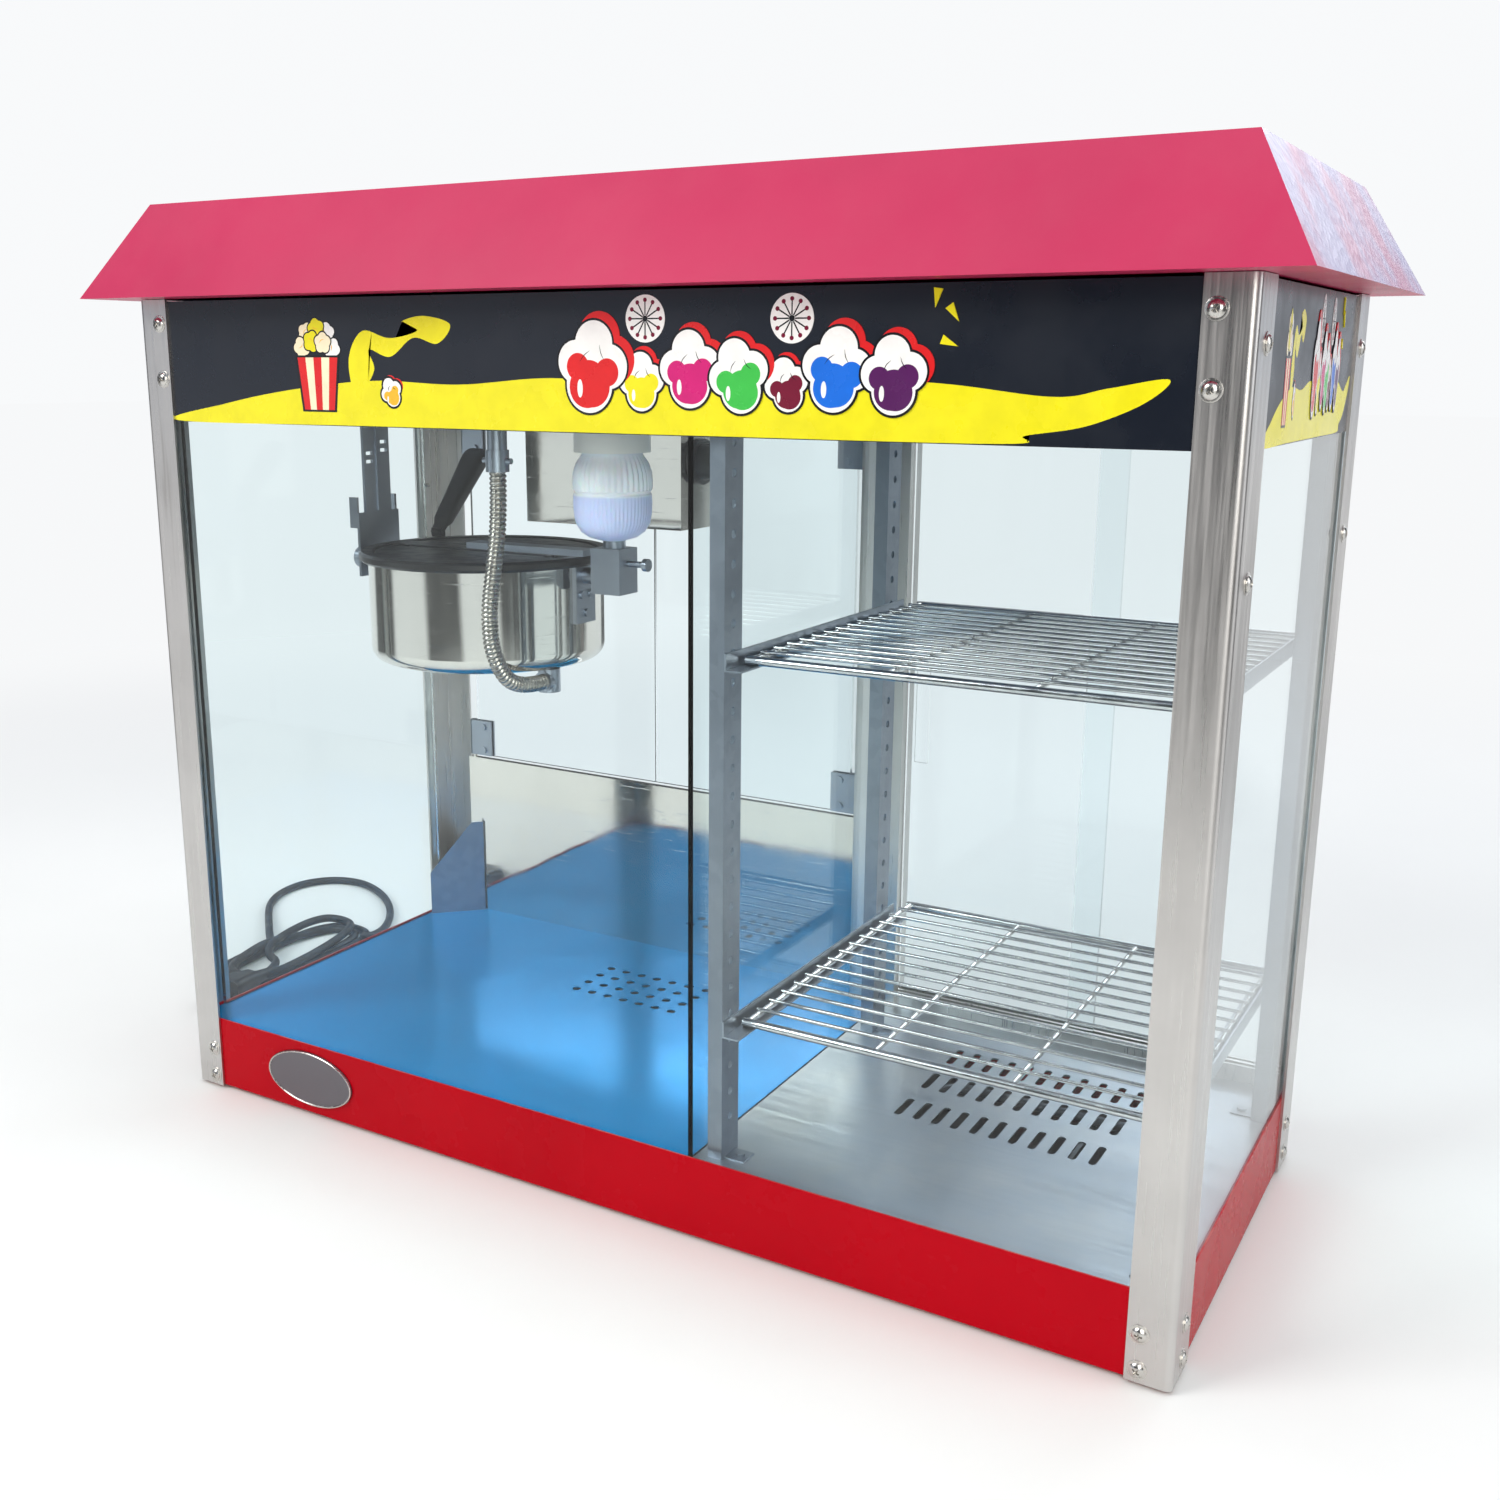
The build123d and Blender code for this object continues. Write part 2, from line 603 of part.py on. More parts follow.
for name, side in (("front", -1), ("rear", 1)):
    with BuildPart() as lid:
        hinge_y = KETTLE_Y + side * LID_AXIS
        rod((KETTLE_X, KETTLE_Y, LID_Z - 0.8), (KETTLE_X, KETTLE_Y, LID_Z + 0.8), LID_R)
        block(
            (KETTLE_X - LID_R - 1, KETTLE_X + LID_R + 1),
            sorted((hinge_y, KETTLE_Y - side * (LID_R + 1))), (LID_Z - 2, LID_Z + 2),
            Mode.SUBTRACT,
        )
        for end in (-1, 1):
            block(
                sorted((KETTLE_X + end * 70, KETTLE_X + end * 95)),
                sorted((KETTLE_Y, hinge_y + side * 4)), (LID_Z - 2, LID_Z + 2),
                Mode.SUBTRACT,
            )
        rod((KETTLE_X - 70, hinge_y, LID_Z), (KETTLE_X + 70, hinge_y, LID_Z), 2.2)
        rod((KETTLE_X - 71, hinge_y, LID_Z), (KETTLE_X + 71, hinge_y, LID_Z), 1 + FIT, Mode.SUBTRACT)
    save(lid, f"lid_{name}")

with BuildPart() as kettle_crossbar:
    block(
        (KETTLE_X - 14, KETTLE_X + RIM_R), (KETTLE_Y - 9, KETTLE_Y + 9),
        (RIM_TOP, RIM_TOP + 5),
    )
    block((KETTLE_X - 16, KETTLE_X + 16), (KETTLE_Y - 11, KETTLE_Y + 11), (442, RIM_TOP - 4.6))
    block((KETTLE_X - 16, KETTLE_X + 16), (KETTLE_Y - 8, KETTLE_Y + 8), (RIM_TOP - 5, RIM_TOP - 4))
    block(
        (KETTLE_X - 14, KETTLE_X + 14), (KETTLE_Y - 9, KETTLE_Y + 9), (444, RIM_TOP - 5.6),
        Mode.SUBTRACT,
    )
    rod((KETTLE_X, KETTLE_Y, 440), (KETTLE_X, KETTLE_Y, 446), SHAFT_R + FIT, Mode.SUBTRACT)
    rod(
        (KETTLE_X + 10, KETTLE_Y, PIVOT_Z), (KETTLE_X + 20, KETTLE_Y, PIVOT_Z), CROSS_R + FIT,
        Mode.SUBTRACT,
    )
save(kettle_crossbar, "kettle_crossbar")

with BuildPart() as kettle_heater:
    rod(
        (KETTLE_X, KETTLE_Y, BOWL_FLOOR - 5), (KETTLE_X, KETTLE_Y, BOWL_FLOOR), 84,
    )
    with Locations((KETTLE_X, KETTLE_Y, BOWL_FLOOR - 7.5)):
        Torus(62, 3.5)
    elbow = (*CONDUIT_ENTRY, CONDUIT_Z)
    rod((*CONDUIT_ENTRY, CONDUIT_Z - 9), (*CONDUIT_ENTRY, KETTLE_BOTTOM), 9)
    rod((*CONDUIT_ENTRY, CONDUIT_Z), (*CONDUIT_ENTRY, KETTLE_BOTTOM + 5), 4.8)
    rod(elbow, (CONDUIT_ENTRY[0], CONDUIT_ENTRY[1] - 9, CONDUIT_Z), 8.4)
save(kettle_heater, "kettle_heater")

with BuildPart() as kettle_pivots:
    plate_y = (KETTLE_Y - 13, KETTLE_Y + 13)
    block((KETTLE_X + KETTLE_R - 3, KETTLE_X + KETTLE_R + 3), plate_y, (420, JACKET_TOP - 0.6))
    block((KETTLE_X - KETTLE_R - 3, KETTLE_X - KETTLE_R + 3), plate_y, (436, JACKET_TOP - 0.6))
    rod(
        (KETTLE_X, KETTLE_Y, 410), (KETTLE_X, KETTLE_Y, JACKET_TOP + 1), KETTLE_R,
        Mode.SUBTRACT,
    )
    rod(trunnion_start, trunnion_end, TRUNNION_R)
    rod(
        (trunnion_start[0] - 1, KETTLE_Y, PIVOT_Z), (trunnion_end[0] + 1, KETTLE_Y, PIVOT_Z),
        CROSS_R + FIT, Mode.SUBTRACT,
    )
    pin_start = KETTLE_X - KETTLE_R - 2
    rod((pin_start, KETTLE_Y, PIVOT_Z), (pin_start - 41, KETTLE_Y, PIVOT_Z), SHAFT_R)
    cone((-333, KETTLE_Y, PIVOT_Z), (-338, KETTLE_Y, PIVOT_Z), 6, 8)
    rod((-338, KETTLE_Y, PIVOT_Z), (-348, KETTLE_Y, PIVOT_Z), 9)
    for y, z in ((-6, 443), (6, 443), (0, 428)):
        face_x = KETTLE_X + KETTLE_R + 3
        rod((face_x, KETTLE_Y + y, z), (face_x + 2, KETTLE_Y + y, z), 3.2)
save(kettle_pivots, "kettle_pivots")

with BuildPart() as kettle_handle:
    grip_foot = Vector(-299, 18, 480)
    grip_along = Vector(0, 56, 61)
    block((-307, -293), (12, 30), (RIM_TOP, RIM_TOP + 4))
    with BuildSketch(Plane(origin=grip_foot, x_dir=(1, 0, 0), z_dir=grip_along)):
        RectangleRounded(16, 6, 2)
    extrude(amount=14)
    with BuildSketch(Plane(origin=grip_foot, x_dir=(1, 0, 0), z_dir=grip_along).offset(8)):
        RectangleRounded(26, 15, 5)
    extrude(amount=82)
    fillet(kettle_handle.faces().sort_by(Axis.Z)[-1].edges(), 5)
    block((-305, -295), (15, 22), (RIM_TOP + 3, RIM_TOP + 12))
save(kettle_handle, "kettle_handle")


def bevel_gear(apex, along):
    """A mitre gear with shallow teeth, its cone's point at apex and its back towards along."""
    apex = Vector(*apex)
    along = Vector(*along)
    cone(apex + along * GEAR_NEAR, apex + along * GEAR_FAR, GEAR_NEAR - 0.3, GEAR_FAR - 0.3)
    rod(apex + along * GEAR_FAR, apex + along * (GEAR_FAR + 3), 5.5)
    teeth = 14
    for i in range(teeth):
        turn = 2 * math.pi * i / teeth
        across = Vector(math.cos(turn), math.sin(turn), 0)
        if abs(along.X) > 0.5:
            across = Vector(0, math.cos(turn), math.sin(turn))
        near = apex + along * (GEAR_NEAR - 1) + across * (GEAR_NEAR - 0.8)
        far = apex + along * (GEAR_FAR + 1) + across * (GEAR_FAR + 1.2)
        rod(near, far, 0.5, Mode.SUBTRACT)


with BuildPart() as stirrer:
    bevel_gear((KETTLE_X, KETTLE_Y, PIVOT_Z), (0, 0, -1))
    rod((KETTLE_X, KETTLE_Y, PIVOT_Z - GEAR_FAR - 2), (KETTLE_X, KETTLE_Y, 402), SHAFT_R)
    rod((KETTLE_X, KETTLE_Y, 401), (KETTLE_X, KETTLE_Y, 412), 8)
    for side in (-1, 1):
        rod((KETTLE_X, KETTLE_Y, 405), (KETTLE_X + side * 60, KETTLE_Y + side * 8, 403.5), 2.5)
        rod(
            (KETTLE_X + side * 60, KETTLE_Y + side * 8, 403.5),
            (KETTLE_X + side * 84, KETTLE_Y - side * 6, 403.5), 2.5,
        )
save(stirrer, "stirrer")

# ---- Kettle drive and hangers ----

with BuildPart() as cross_shaft:
    bevel_gear((KETTLE_X, KETTLE_Y, PIVOT_Z), (1, 0, 0))
    bevel_gear((HOUSING_X, KETTLE_Y, PIVOT_Z), (-1, 0, 0))
    rod(
        (KETTLE_X + GEAR_FAR + 2, KETTLE_Y, PIVOT_Z),
        (HOUSING_X - GEAR_FAR - 2, KETTLE_Y, PIVOT_Z), CROSS_R,
    )
save(cross_shaft, "cross_shaft")

with BuildPart() as drive_shaft:
    bevel_gear((HOUSING_X, KETTLE_Y, PIVOT_Z), (0, 0, 1))
    rod(
        (HOUSING_X, KETTLE_Y, PIVOT_Z + GEAR_FAR + 2), (HOUSING_X, KETTLE_Y, CEILING_Z + 14),
        SHAFT_R,
    )
save(drive_shaft, "drive_shaft")

with BuildPart() as right_hanger:
    housing_y = (KETTLE_Y - 13, KETTLE_Y + 13)
    block((HOUSING_X - 14, HOUSING_X + 13), housing_y, (PIVOT_Z - 12, 482))
    block(
        (HOUSING_X - 11.5, HOUSING_X + 10.5), (KETTLE_Y - 10.5, KETTLE_Y + 10.5),
        (PIVOT_Z - 9.5, 479.5), Mode.SUBTRACT,
    )
    rod((HOUSING_X, KETTLE_Y, 482), (HOUSING_X, KETTLE_Y, CEILING_Z - 2), 9)
    block((HOUSING_X - 20, HOUSING_X + 20), (KETTLE_Y - 20, KETTLE_Y + 20), (CEILING_Z - 2, CEILING_Z))
    rod((HOUSING_X, KETTLE_Y, 490), (HOUSING_X, KETTLE_Y, CEILING_Z + 1), 6.5, Mode.SUBTRACT)
    rod((HOUSING_X, KETTLE_Y, 478), (HOUSING_X, KETTLE_Y, 491), SHAFT_R + FIT, Mode.SUBTRACT)
    rod(
        (HOUSING_X - 16, KETTLE_Y, PIVOT_Z), (HOUSING_X - 11, KETTLE_Y, PIVOT_Z),
        TRUNNION_R + FIT, Mode.SUBTRACT,
    )
    rod((HOUSING_X + 12, KETTLE_Y, 470), (HOUSING_X + 28, KETTLE_Y, 470), 2.5)
    rod((HOUSING_X + 28, KETTLE_Y, 470), (HOUSING_X + 32, KETTLE_Y, 470), 5)
save(right_hanger, "right_hanger")

with BuildPart() as left_hanger:
    strip_x = (-327.0, -324.5)
    block(strip_x, (KETTLE_Y - 16, KETTLE_Y + 16), (497, CEILING_Z - 2))
    block(strip_x, (KETTLE_Y - 25, KETTLE_Y + 25), (PIVOT_Z - 13, 499))
    block((strip_x[0] - 26, strip_x[1]), (KETTLE_Y - 16, KETTLE_Y + 16), (CEILING_Z - 2, CEILING_Z))
    block((strip_x[1] - 0.5, strip_x[1] + 1.5), (KETTLE_Y - 1.5, KETTLE_Y + 1.5), (500, CEILING_Z - 2))
    for y in (-25, 22.5):
        block((strip_x[0] - 8, strip_x[0] + 0.5), (KETTLE_Y + y, KETTLE_Y + y + 2.5), (486, 512))
    for y, z in ((-9, 540), (9, 549)):
        for gap in (0, 7):
            block(
                (strip_x[0] - 1, strip_x[1] + 2), (KETTLE_Y + y - 4, KETTLE_Y + y + 4),
                (z + gap, z + gap + 3), Mode.SUBTRACT,
            )
    rod(
        (strip_x[0] - 1, KETTLE_Y, PIVOT_Z), (strip_x[1] + 1, KETTLE_Y, PIVOT_Z),
        SHAFT_R + FIT, Mode.SUBTRACT,
    )
save(left_hanger, "left_hanger")

with BuildPart() as stir_motor:
    motor_z = CEILING_Z + SHEET
    block((HOUSING_X - 34, HOUSING_X + 34), (KETTLE_Y - 30, KETTLE_Y + 30), (motor_z, motor_z + 28))
    rod((HOUSING_X, KETTLE_Y, motor_z + 28), (HOUSING_X, KETTLE_Y, motor_z + 84), 24)
    rod((HOUSING_X, KETTLE_Y, motor_z + 84), (HOUSING_X, KETTLE_Y, motor_z + 90), 9)
    rod(
        (HOUSING_X, KETTLE_Y, motor_z - 1), (HOUSING_X, KETTLE_Y, CEILING_Z + 15),
        SHAFT_R + FIT, Mode.SUBTRACT,
    )
save(stir_motor, "stir_motor")

# ---- Conduit to the kettle heater ----

with BuildPart() as conduit_dropper:
    rod((*DROPPER, DROPPER_END), (*DROPPER, CEILING_Z + 14), 7.5)
    rod((*DROPPER, DROPPER_END - 8), (*DROPPER, DROPPER_END + 8), 8.8)
    rod((*DROPPER, CEILING_Z - 8), (*DROPPER, CEILING_Z), 11)
    rod(
        (DROPPER[0] - 13, DROPPER[1], DROPPER_END), (DROPPER[0] + 13, DROPPER[1], DROPPER_END),
        2.2,
    )
save(conduit_dropper, "conduit_dropper")



def smooth_radii(route):
    """The largest tangent arc that each corner of a route has room for."""
    radii = []
    for before, corner, after in zip(route, route[1:], route[2:]):
        first = Vector(*corner) - Vector(*before)
        second = Vector(*after) - Vector(*corner)
        half_turn = math.radians(first.get_angle(second) / 2)
        radii.append(0.45 * min(first.length, second.length) / math.tan(half_turn))
    return radii


def flexible_tube(route, radius, name):
    """A tube along a smooth route, which prints its bends and its length."""
    radii = smooth_radii(route)
    along = Vector(*route[1]) - Vector(*route[0])
    with BuildPart() as tube:
        with BuildLine() as path:
            FilletPolyline(*route, radius=radii)
        with BuildSketch(Plane(origin=route[0], z_dir=along)):
            Circle(radius)
        sweep()
    length = path.wires()[0].length
    swept = tube.part.volume / (math.pi * radius**2 * length)
    print(name, "length", round(length), "volume ratio", round(swept, 4))
    print(name, "radii", [round(r) for r in radii])
    save(tube, name)


flexible_tube(
    [
        (*DROPPER, DROPPER_END - 8),
        (*DROPPER, 509.0),
        (-128.0, -121.0, 471.0),
        (-134.0, -121.0, 434.0),
        (-134.0, -116.0, 400.0),
        (CONDUIT_ENTRY[0], -96.0, CONDUIT_Z),
        (CONDUIT_ENTRY[0], CONDUIT_ENTRY[1] - 9, CONDUIT_Z),
    ],
    CONDUIT_R,
    "kettle_conduit",
)

# ---- Control box, lamp and switches ----

with BuildPart() as control_box:
    block(BOX_X, BOX_Y, (BOX_BOTTOM, CEILING_Z))
    block(
        (BOX_X[0] + 1, BOX_X[1] - 1), (BOX_Y[0] + 1, BOX_Y[1] - 1),
        (BOX_BOTTOM + 1, CEILING_Z + 1), Mode.SUBTRACT,
    )
    rod((BOX_X[1] - 26, KNOB_Y, KNOB_Z), (BOX_X[1] - 1, KNOB_Y, KNOB_Z), 14)
    rod((BOX_X[1] - 14, KNOB_Y, KNOB_Z), (BOX_X[1] + 1, KNOB_Y, KNOB_Z), 3 + FIT, Mode.SUBTRACT)
save(control_box, "control_box")

with BuildPart() as thermostat_knob:
    rod((BOX_X[1] - 13, KNOB_Y, KNOB_Z), (BOX_X[1] + 3, KNOB_Y, KNOB_Z), 3)
    rod((BOX_X[1] + 0.6, KNOB_Y, KNOB_Z), (BOX_X[1] + 5, KNOB_Y, KNOB_Z), 19)
    cone((BOX_X[1] + 5, KNOB_Y, KNOB_Z), (BOX_X[1] + 19, KNOB_Y, KNOB_Z), 15.5, 13.5)
    block(
        (BOX_X[1] + 5, BOX_X[1] + 21), (KNOB_Y - 2.5, KNOB_Y + 2.5),
        (KNOB_Z - 12, KNOB_Z + 15),
    )
save(thermostat_knob, "thermostat_knob")

LAMP_AXIS = Axis((*LAMP, 0), (0, 0, 1))
lamp_section = Plane(origin=(*LAMP, 0), x_dir=(1, 0, 0), z_dir=(0, -1, 0))

with BuildPart() as lamp_holder:
    rod((*LAMP, 560), (*LAMP, CEILING_Z), 28.5)
    rod((*LAMP, 559), (*LAMP, 571), 23.5, Mode.SUBTRACT)
    rod((*LAMP, 570), (*LAMP, 592), 14, Mode.SUBTRACT)
save(lamp_holder, "lamp_holder")

with BuildPart() as led_bulb:
    with BuildSketch(lamp_section):
        with BuildLine():
            dome = ThreePointArc((0, 494), (18, 497.5), (28, 508))
            Polyline(
                dome @ 1, (30, 530), (30, 546), (22.5, 558), (22.5, 568), (13.4, 570),
                (13.4, 592), (0, 592), (0, 494),
            )
        make_face()
    revolve(axis=LAMP_AXIS)
save(led_bulb, "led_bulb")

with BuildPart() as switch_housings:
    for x in ROCKER_X:
        block((x - 9.8, x + 9.8), (SHEET_Y - 20, SHEET_Y), (ROCKER_Z - 13.2, ROCKER_Z + 13.2))
        block(
            (x - 12.5, x + 12.5), (SHEET_Y, SHEET_Y + 1.6), (ROCKER_Z - 16, ROCKER_Z + 16)
        )
        block(
            (x - 8.6, x + 8.6), (SHEET_Y - 12, SHEET_Y + 3), (ROCKER_Z - 12, ROCKER_Z + 12),
            Mode.SUBTRACT,
        )
        pivot_y = SHEET_Y - 1.5
        rod((x - 9.5, pivot_y, ROCKER_Z), (x + 9.5, pivot_y, ROCKER_Z), ROCKER_PIN_R)
save(switch_housings, "switch_housings")

for name, x in zip(("heat", "stir", "light"), ROCKER_X):
    off = math.radians(-ROCKER_TILT)
    rise = 11 * math.tan(math.radians(ROCKER_TILT))
    with BuildPart() as rocker:
        with BuildSketch(
            Plane(
                origin=(x - 8, SHEET_Y - 1.5, ROCKER_Z),
                x_dir=(0, math.cos(off), math.sin(off)),
                z_dir=(1, 0, 0),
            )
        ):
            with BuildLine():
                Polyline(
                    (2.4, 0), (2.4 + rise, 11), (-1, 11), (-5, 6), (-5, -6), (-1, -11),
                    (2.4 + rise, -11), close=True,
                )
            make_face()
            Circle(ROCKER_PIN_R + FIT, mode=Mode.SUBTRACT)
        extrude(amount=16)
    save(rocker, f"rocker_{name}")

# ---- Crumb drawer ----

with BuildPart() as crumb_drawer:
    block(DRAWER_X, DRAWER_Y, DRAWER_Z)
    block(
        (DRAWER_X[0] + 1, DRAWER_X[1] - 1), (DRAWER_Y[0] + 1, DRAWER_Y[1] + 1),
        (DRAWER_Z[0] + 1, DRAWER_Z[1] + 1), Mode.SUBTRACT,
    )
    front = (SHEET_Y + 0.4, SHEET_Y + 1.8)
    block((DRAWER_X[0] - 7, DRAWER_X[1] + 7), front, (DRAWER_Z[0] - 7, DRAWER_Z[1] + 4))
    block(
        (DRAWER_X[0] + 1, DRAWER_X[1] - 1), (DRAWER_Y[1] - 1, front[0]),
        (DRAWER_Z[0], DRAWER_Z[0] + 1),
    )
    grip_z = (DRAWER_Z[0] + DRAWER_Z[1]) / 2
    grip_x = (DRAWER_X[0] + DRAWER_X[1]) / 2
    for side in (-1, 1):
        rod((grip_x + side * 36, front[1], grip_z), (grip_x + side * 36, front[1] + 16, grip_z), 3)
    rod((grip_x - 39, front[1] + 16, grip_z), (grip_x + 39, front[1] + 16, grip_z), 3)
save(crumb_drawer, "crumb_drawer")

# ---- Power cord ----

with BuildPart() as cord_gland:
    rod((-SHEET_X - 5, GLAND_Y, GLAND_Z), (-INNER_X + 8, GLAND_Y, GLAND_Z), 6)
    rod((-INNER_X, GLAND_Y, GLAND_Z), (-INNER_X + 5, GLAND_Y, GLAND_Z), 10)
    rod((-SHEET_X - 6, GLAND_Y, GLAND_Z), (-SHEET_X, GLAND_Y, GLAND_Z), 10)
    cone((-SHEET_X - 6, GLAND_Y, GLAND_Z), (GLAND_END, GLAND_Y, GLAND_Z), 8.5, CORD_R + 1.2)
save(cord_gland, "cord_gland")

flexible_tube(
    [
        (GLAND_END, GLAND_Y, GLAND_Z),
        (-500.0, GLAND_Y, GLAND_Z),
        (-528.0, 135.0, 16.0),
        (-540.0, 176.0, 4.6),
        (-558.0, 214.0, 4.3),
        (-593.0, 254.0, 4.5),
        (-635.0, 284.0, 4.3),
        (-678.0, 300.0, 4.5),
        (-716.0, 292.0, 4.3),
        (-738.0, 262.0, 4.5),
        (-738.0, 224.0, 4.3),
        (-720.0, 188.0, 4.6),
        (-692.0, 158.0, 5.0),
        (-662.0, 130.0, 6.5),
        (-640.0, 109.0, 8.5),
        (-616.0, 88.0, 9.5),
    ],
    CORD_R,
    "power_cord",
)

with BuildPart() as cord_hank:
    with BuildSketch(Plane.XY):
        with Locations(HANK_CENTRE):
            SlotOverall(HANK_SIZE[1], HANK_SIZE[0], rotation=90)
            SlotOverall(
                HANK_SIZE[1] - 2 * HANK_BAND, HANK_SIZE[0] - 2 * HANK_BAND, rotation=90,
                mode=Mode.SUBTRACT,
            )
    extrude(amount=HANK_H)
    fillet(cord_hank.edges().filter_by(lambda edge: edge.center().Z in (0, HANK_H)), 6)
save(cord_hank, "cord_hank")

with BuildPart() as plug:
    cone((PLUG_X, PLUG_Y, PLUG_Z), (PLUG_X, PLUG_Y - 22, PLUG_Z), CORD_R + 1, 8)
    with BuildSketch(Plane(origin=(PLUG_X, PLUG_Y - 20, PLUG_Z), x_dir=(1, 0, 0), z_dir=(0, -1, 0))):
        RectangleRounded(22, 20, 7)
    with BuildSketch(Plane(origin=(PLUG_X, PLUG_Y - 50, PLUG_Z), x_dir=(1, 0, 0), z_dir=(0, -1, 0))):
        RectangleRounded(36, 25, 8)
    loft()
    with BuildSketch(Plane(origin=(PLUG_X, PLUG_Y - 50, PLUG_Z), x_dir=(1, 0, 0), z_dir=(0, -1, 0))):
        RectangleRounded(36, 25, 8)
    extrude(amount=6)
    for side in (-1, 1):
        pin_x = PLUG_X + side * 9.5
        rod((pin_x, PLUG_Y - 55, PLUG_Z), (pin_x, PLUG_Y - 75, PLUG_Z), 2.4)
save(plug, "plug")
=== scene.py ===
"""Looks of a counter-top popcorn machine with a warming showcase, in metres."""

import json
import math
import random

import bmesh
import bpy
from mathutils import Matrix, Vector


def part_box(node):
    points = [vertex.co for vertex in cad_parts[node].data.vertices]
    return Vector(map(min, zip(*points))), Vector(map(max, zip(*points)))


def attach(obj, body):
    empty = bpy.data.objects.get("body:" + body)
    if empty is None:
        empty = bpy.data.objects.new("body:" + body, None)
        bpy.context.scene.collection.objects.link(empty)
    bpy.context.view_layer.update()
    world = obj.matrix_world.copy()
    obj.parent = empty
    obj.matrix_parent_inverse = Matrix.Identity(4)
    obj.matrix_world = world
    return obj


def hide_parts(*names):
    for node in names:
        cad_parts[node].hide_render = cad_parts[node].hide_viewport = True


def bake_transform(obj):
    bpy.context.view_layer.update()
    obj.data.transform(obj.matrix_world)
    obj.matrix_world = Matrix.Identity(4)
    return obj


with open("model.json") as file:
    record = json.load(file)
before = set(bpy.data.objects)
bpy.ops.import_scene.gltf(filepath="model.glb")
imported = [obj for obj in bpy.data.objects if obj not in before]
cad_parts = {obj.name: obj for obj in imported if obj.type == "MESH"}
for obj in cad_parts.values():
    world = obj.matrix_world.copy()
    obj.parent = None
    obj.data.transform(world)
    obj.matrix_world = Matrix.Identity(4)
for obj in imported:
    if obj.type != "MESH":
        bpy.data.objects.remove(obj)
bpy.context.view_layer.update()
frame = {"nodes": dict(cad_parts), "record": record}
nodes = frame["nodes"]
MM = 0.001
X, Y, Z = range(3)

# ---- Materials ----

# Where most of a noise texture's values lie.
NOISE_MIDDLE = (0.3, 0.7)
GLASS_IOR = 1.32


def linear(red, green, blue):
    """The linear colour of an sRGB one."""
    parts = []
    for value in (red, green, blue):
        parts.append(value / 12.92 if value <= 0.04045 else ((value + 0.055) / 1.055) ** 2.4)
    return (*parts, 1.0)


class Nodes:
    """A node tree with short ways to add what its shaders need."""

    def __init__(self, tree, coordinates):
        self.tree = tree
        self.place = self.add("ShaderNodeTexCoord").outputs[coordinates]

    def add(self, kind, inputs=None, **settings):
        """A node with these inputs, each a value or another node's output."""
        node = self.tree.nodes.new(kind)
        for setting, value in settings.items():
            setattr(node, setting, value)
        for socket, value in (inputs or {}).items():
            self.feed(node.inputs[socket], value)
        return node

    def feed(self, socket, value):
        if isinstance(value, bpy.types.NodeSocket):
            self.tree.links.new(value, socket)
        else:
            socket.default_value = value

    def math(self, operation, first, second=0.0):
        node = self.add("ShaderNodeMath", {0: first, 1: second}, operation=operation)
        return node.outputs[0]

    def part(self, axis, source=None):
        """One coordinate of a vector, X, Y or Z."""
        return self.add("ShaderNodeSeparateXYZ", {0: source or self.place}).outputs[axis]

    def bearing(self):
        """The angle about the upright axis."""
        return self.math("ARCTAN2", self.part(Y), self.part(X))

    def remap(self, value, low, high, to_low=0.0, to_high=1.0):
        node = self.add(
            "ShaderNodeMapRange",
            {"Value": value, 1: low, 2: high, 3: to_low, 4: to_high},
            interpolation_type="SMOOTHSTEP",
        )
        return node.outputs[0]

    def mix(self, factor, first, second, blend="MIX"):
        node = self.add("ShaderNodeMix", data_type="RGBA", blend_type=blend)
        self.feed(node.inputs[0], factor)
        self.feed(node.inputs[6], first)
        self.feed(node.inputs[7], second)
        return node.outputs[2]

    def grey(self, value):
        return self.add("ShaderNodeCombineColor", {0: value, 1: value, 2: value}).outputs[0]

    def bounces(self):
        """How often the light's path has met a surface that isn't see-through."""
        paths = self.add("ShaderNodeLightPath").outputs
        return self.math("ADD", paths["Glossy Depth"], paths["Diffuse Depth"])


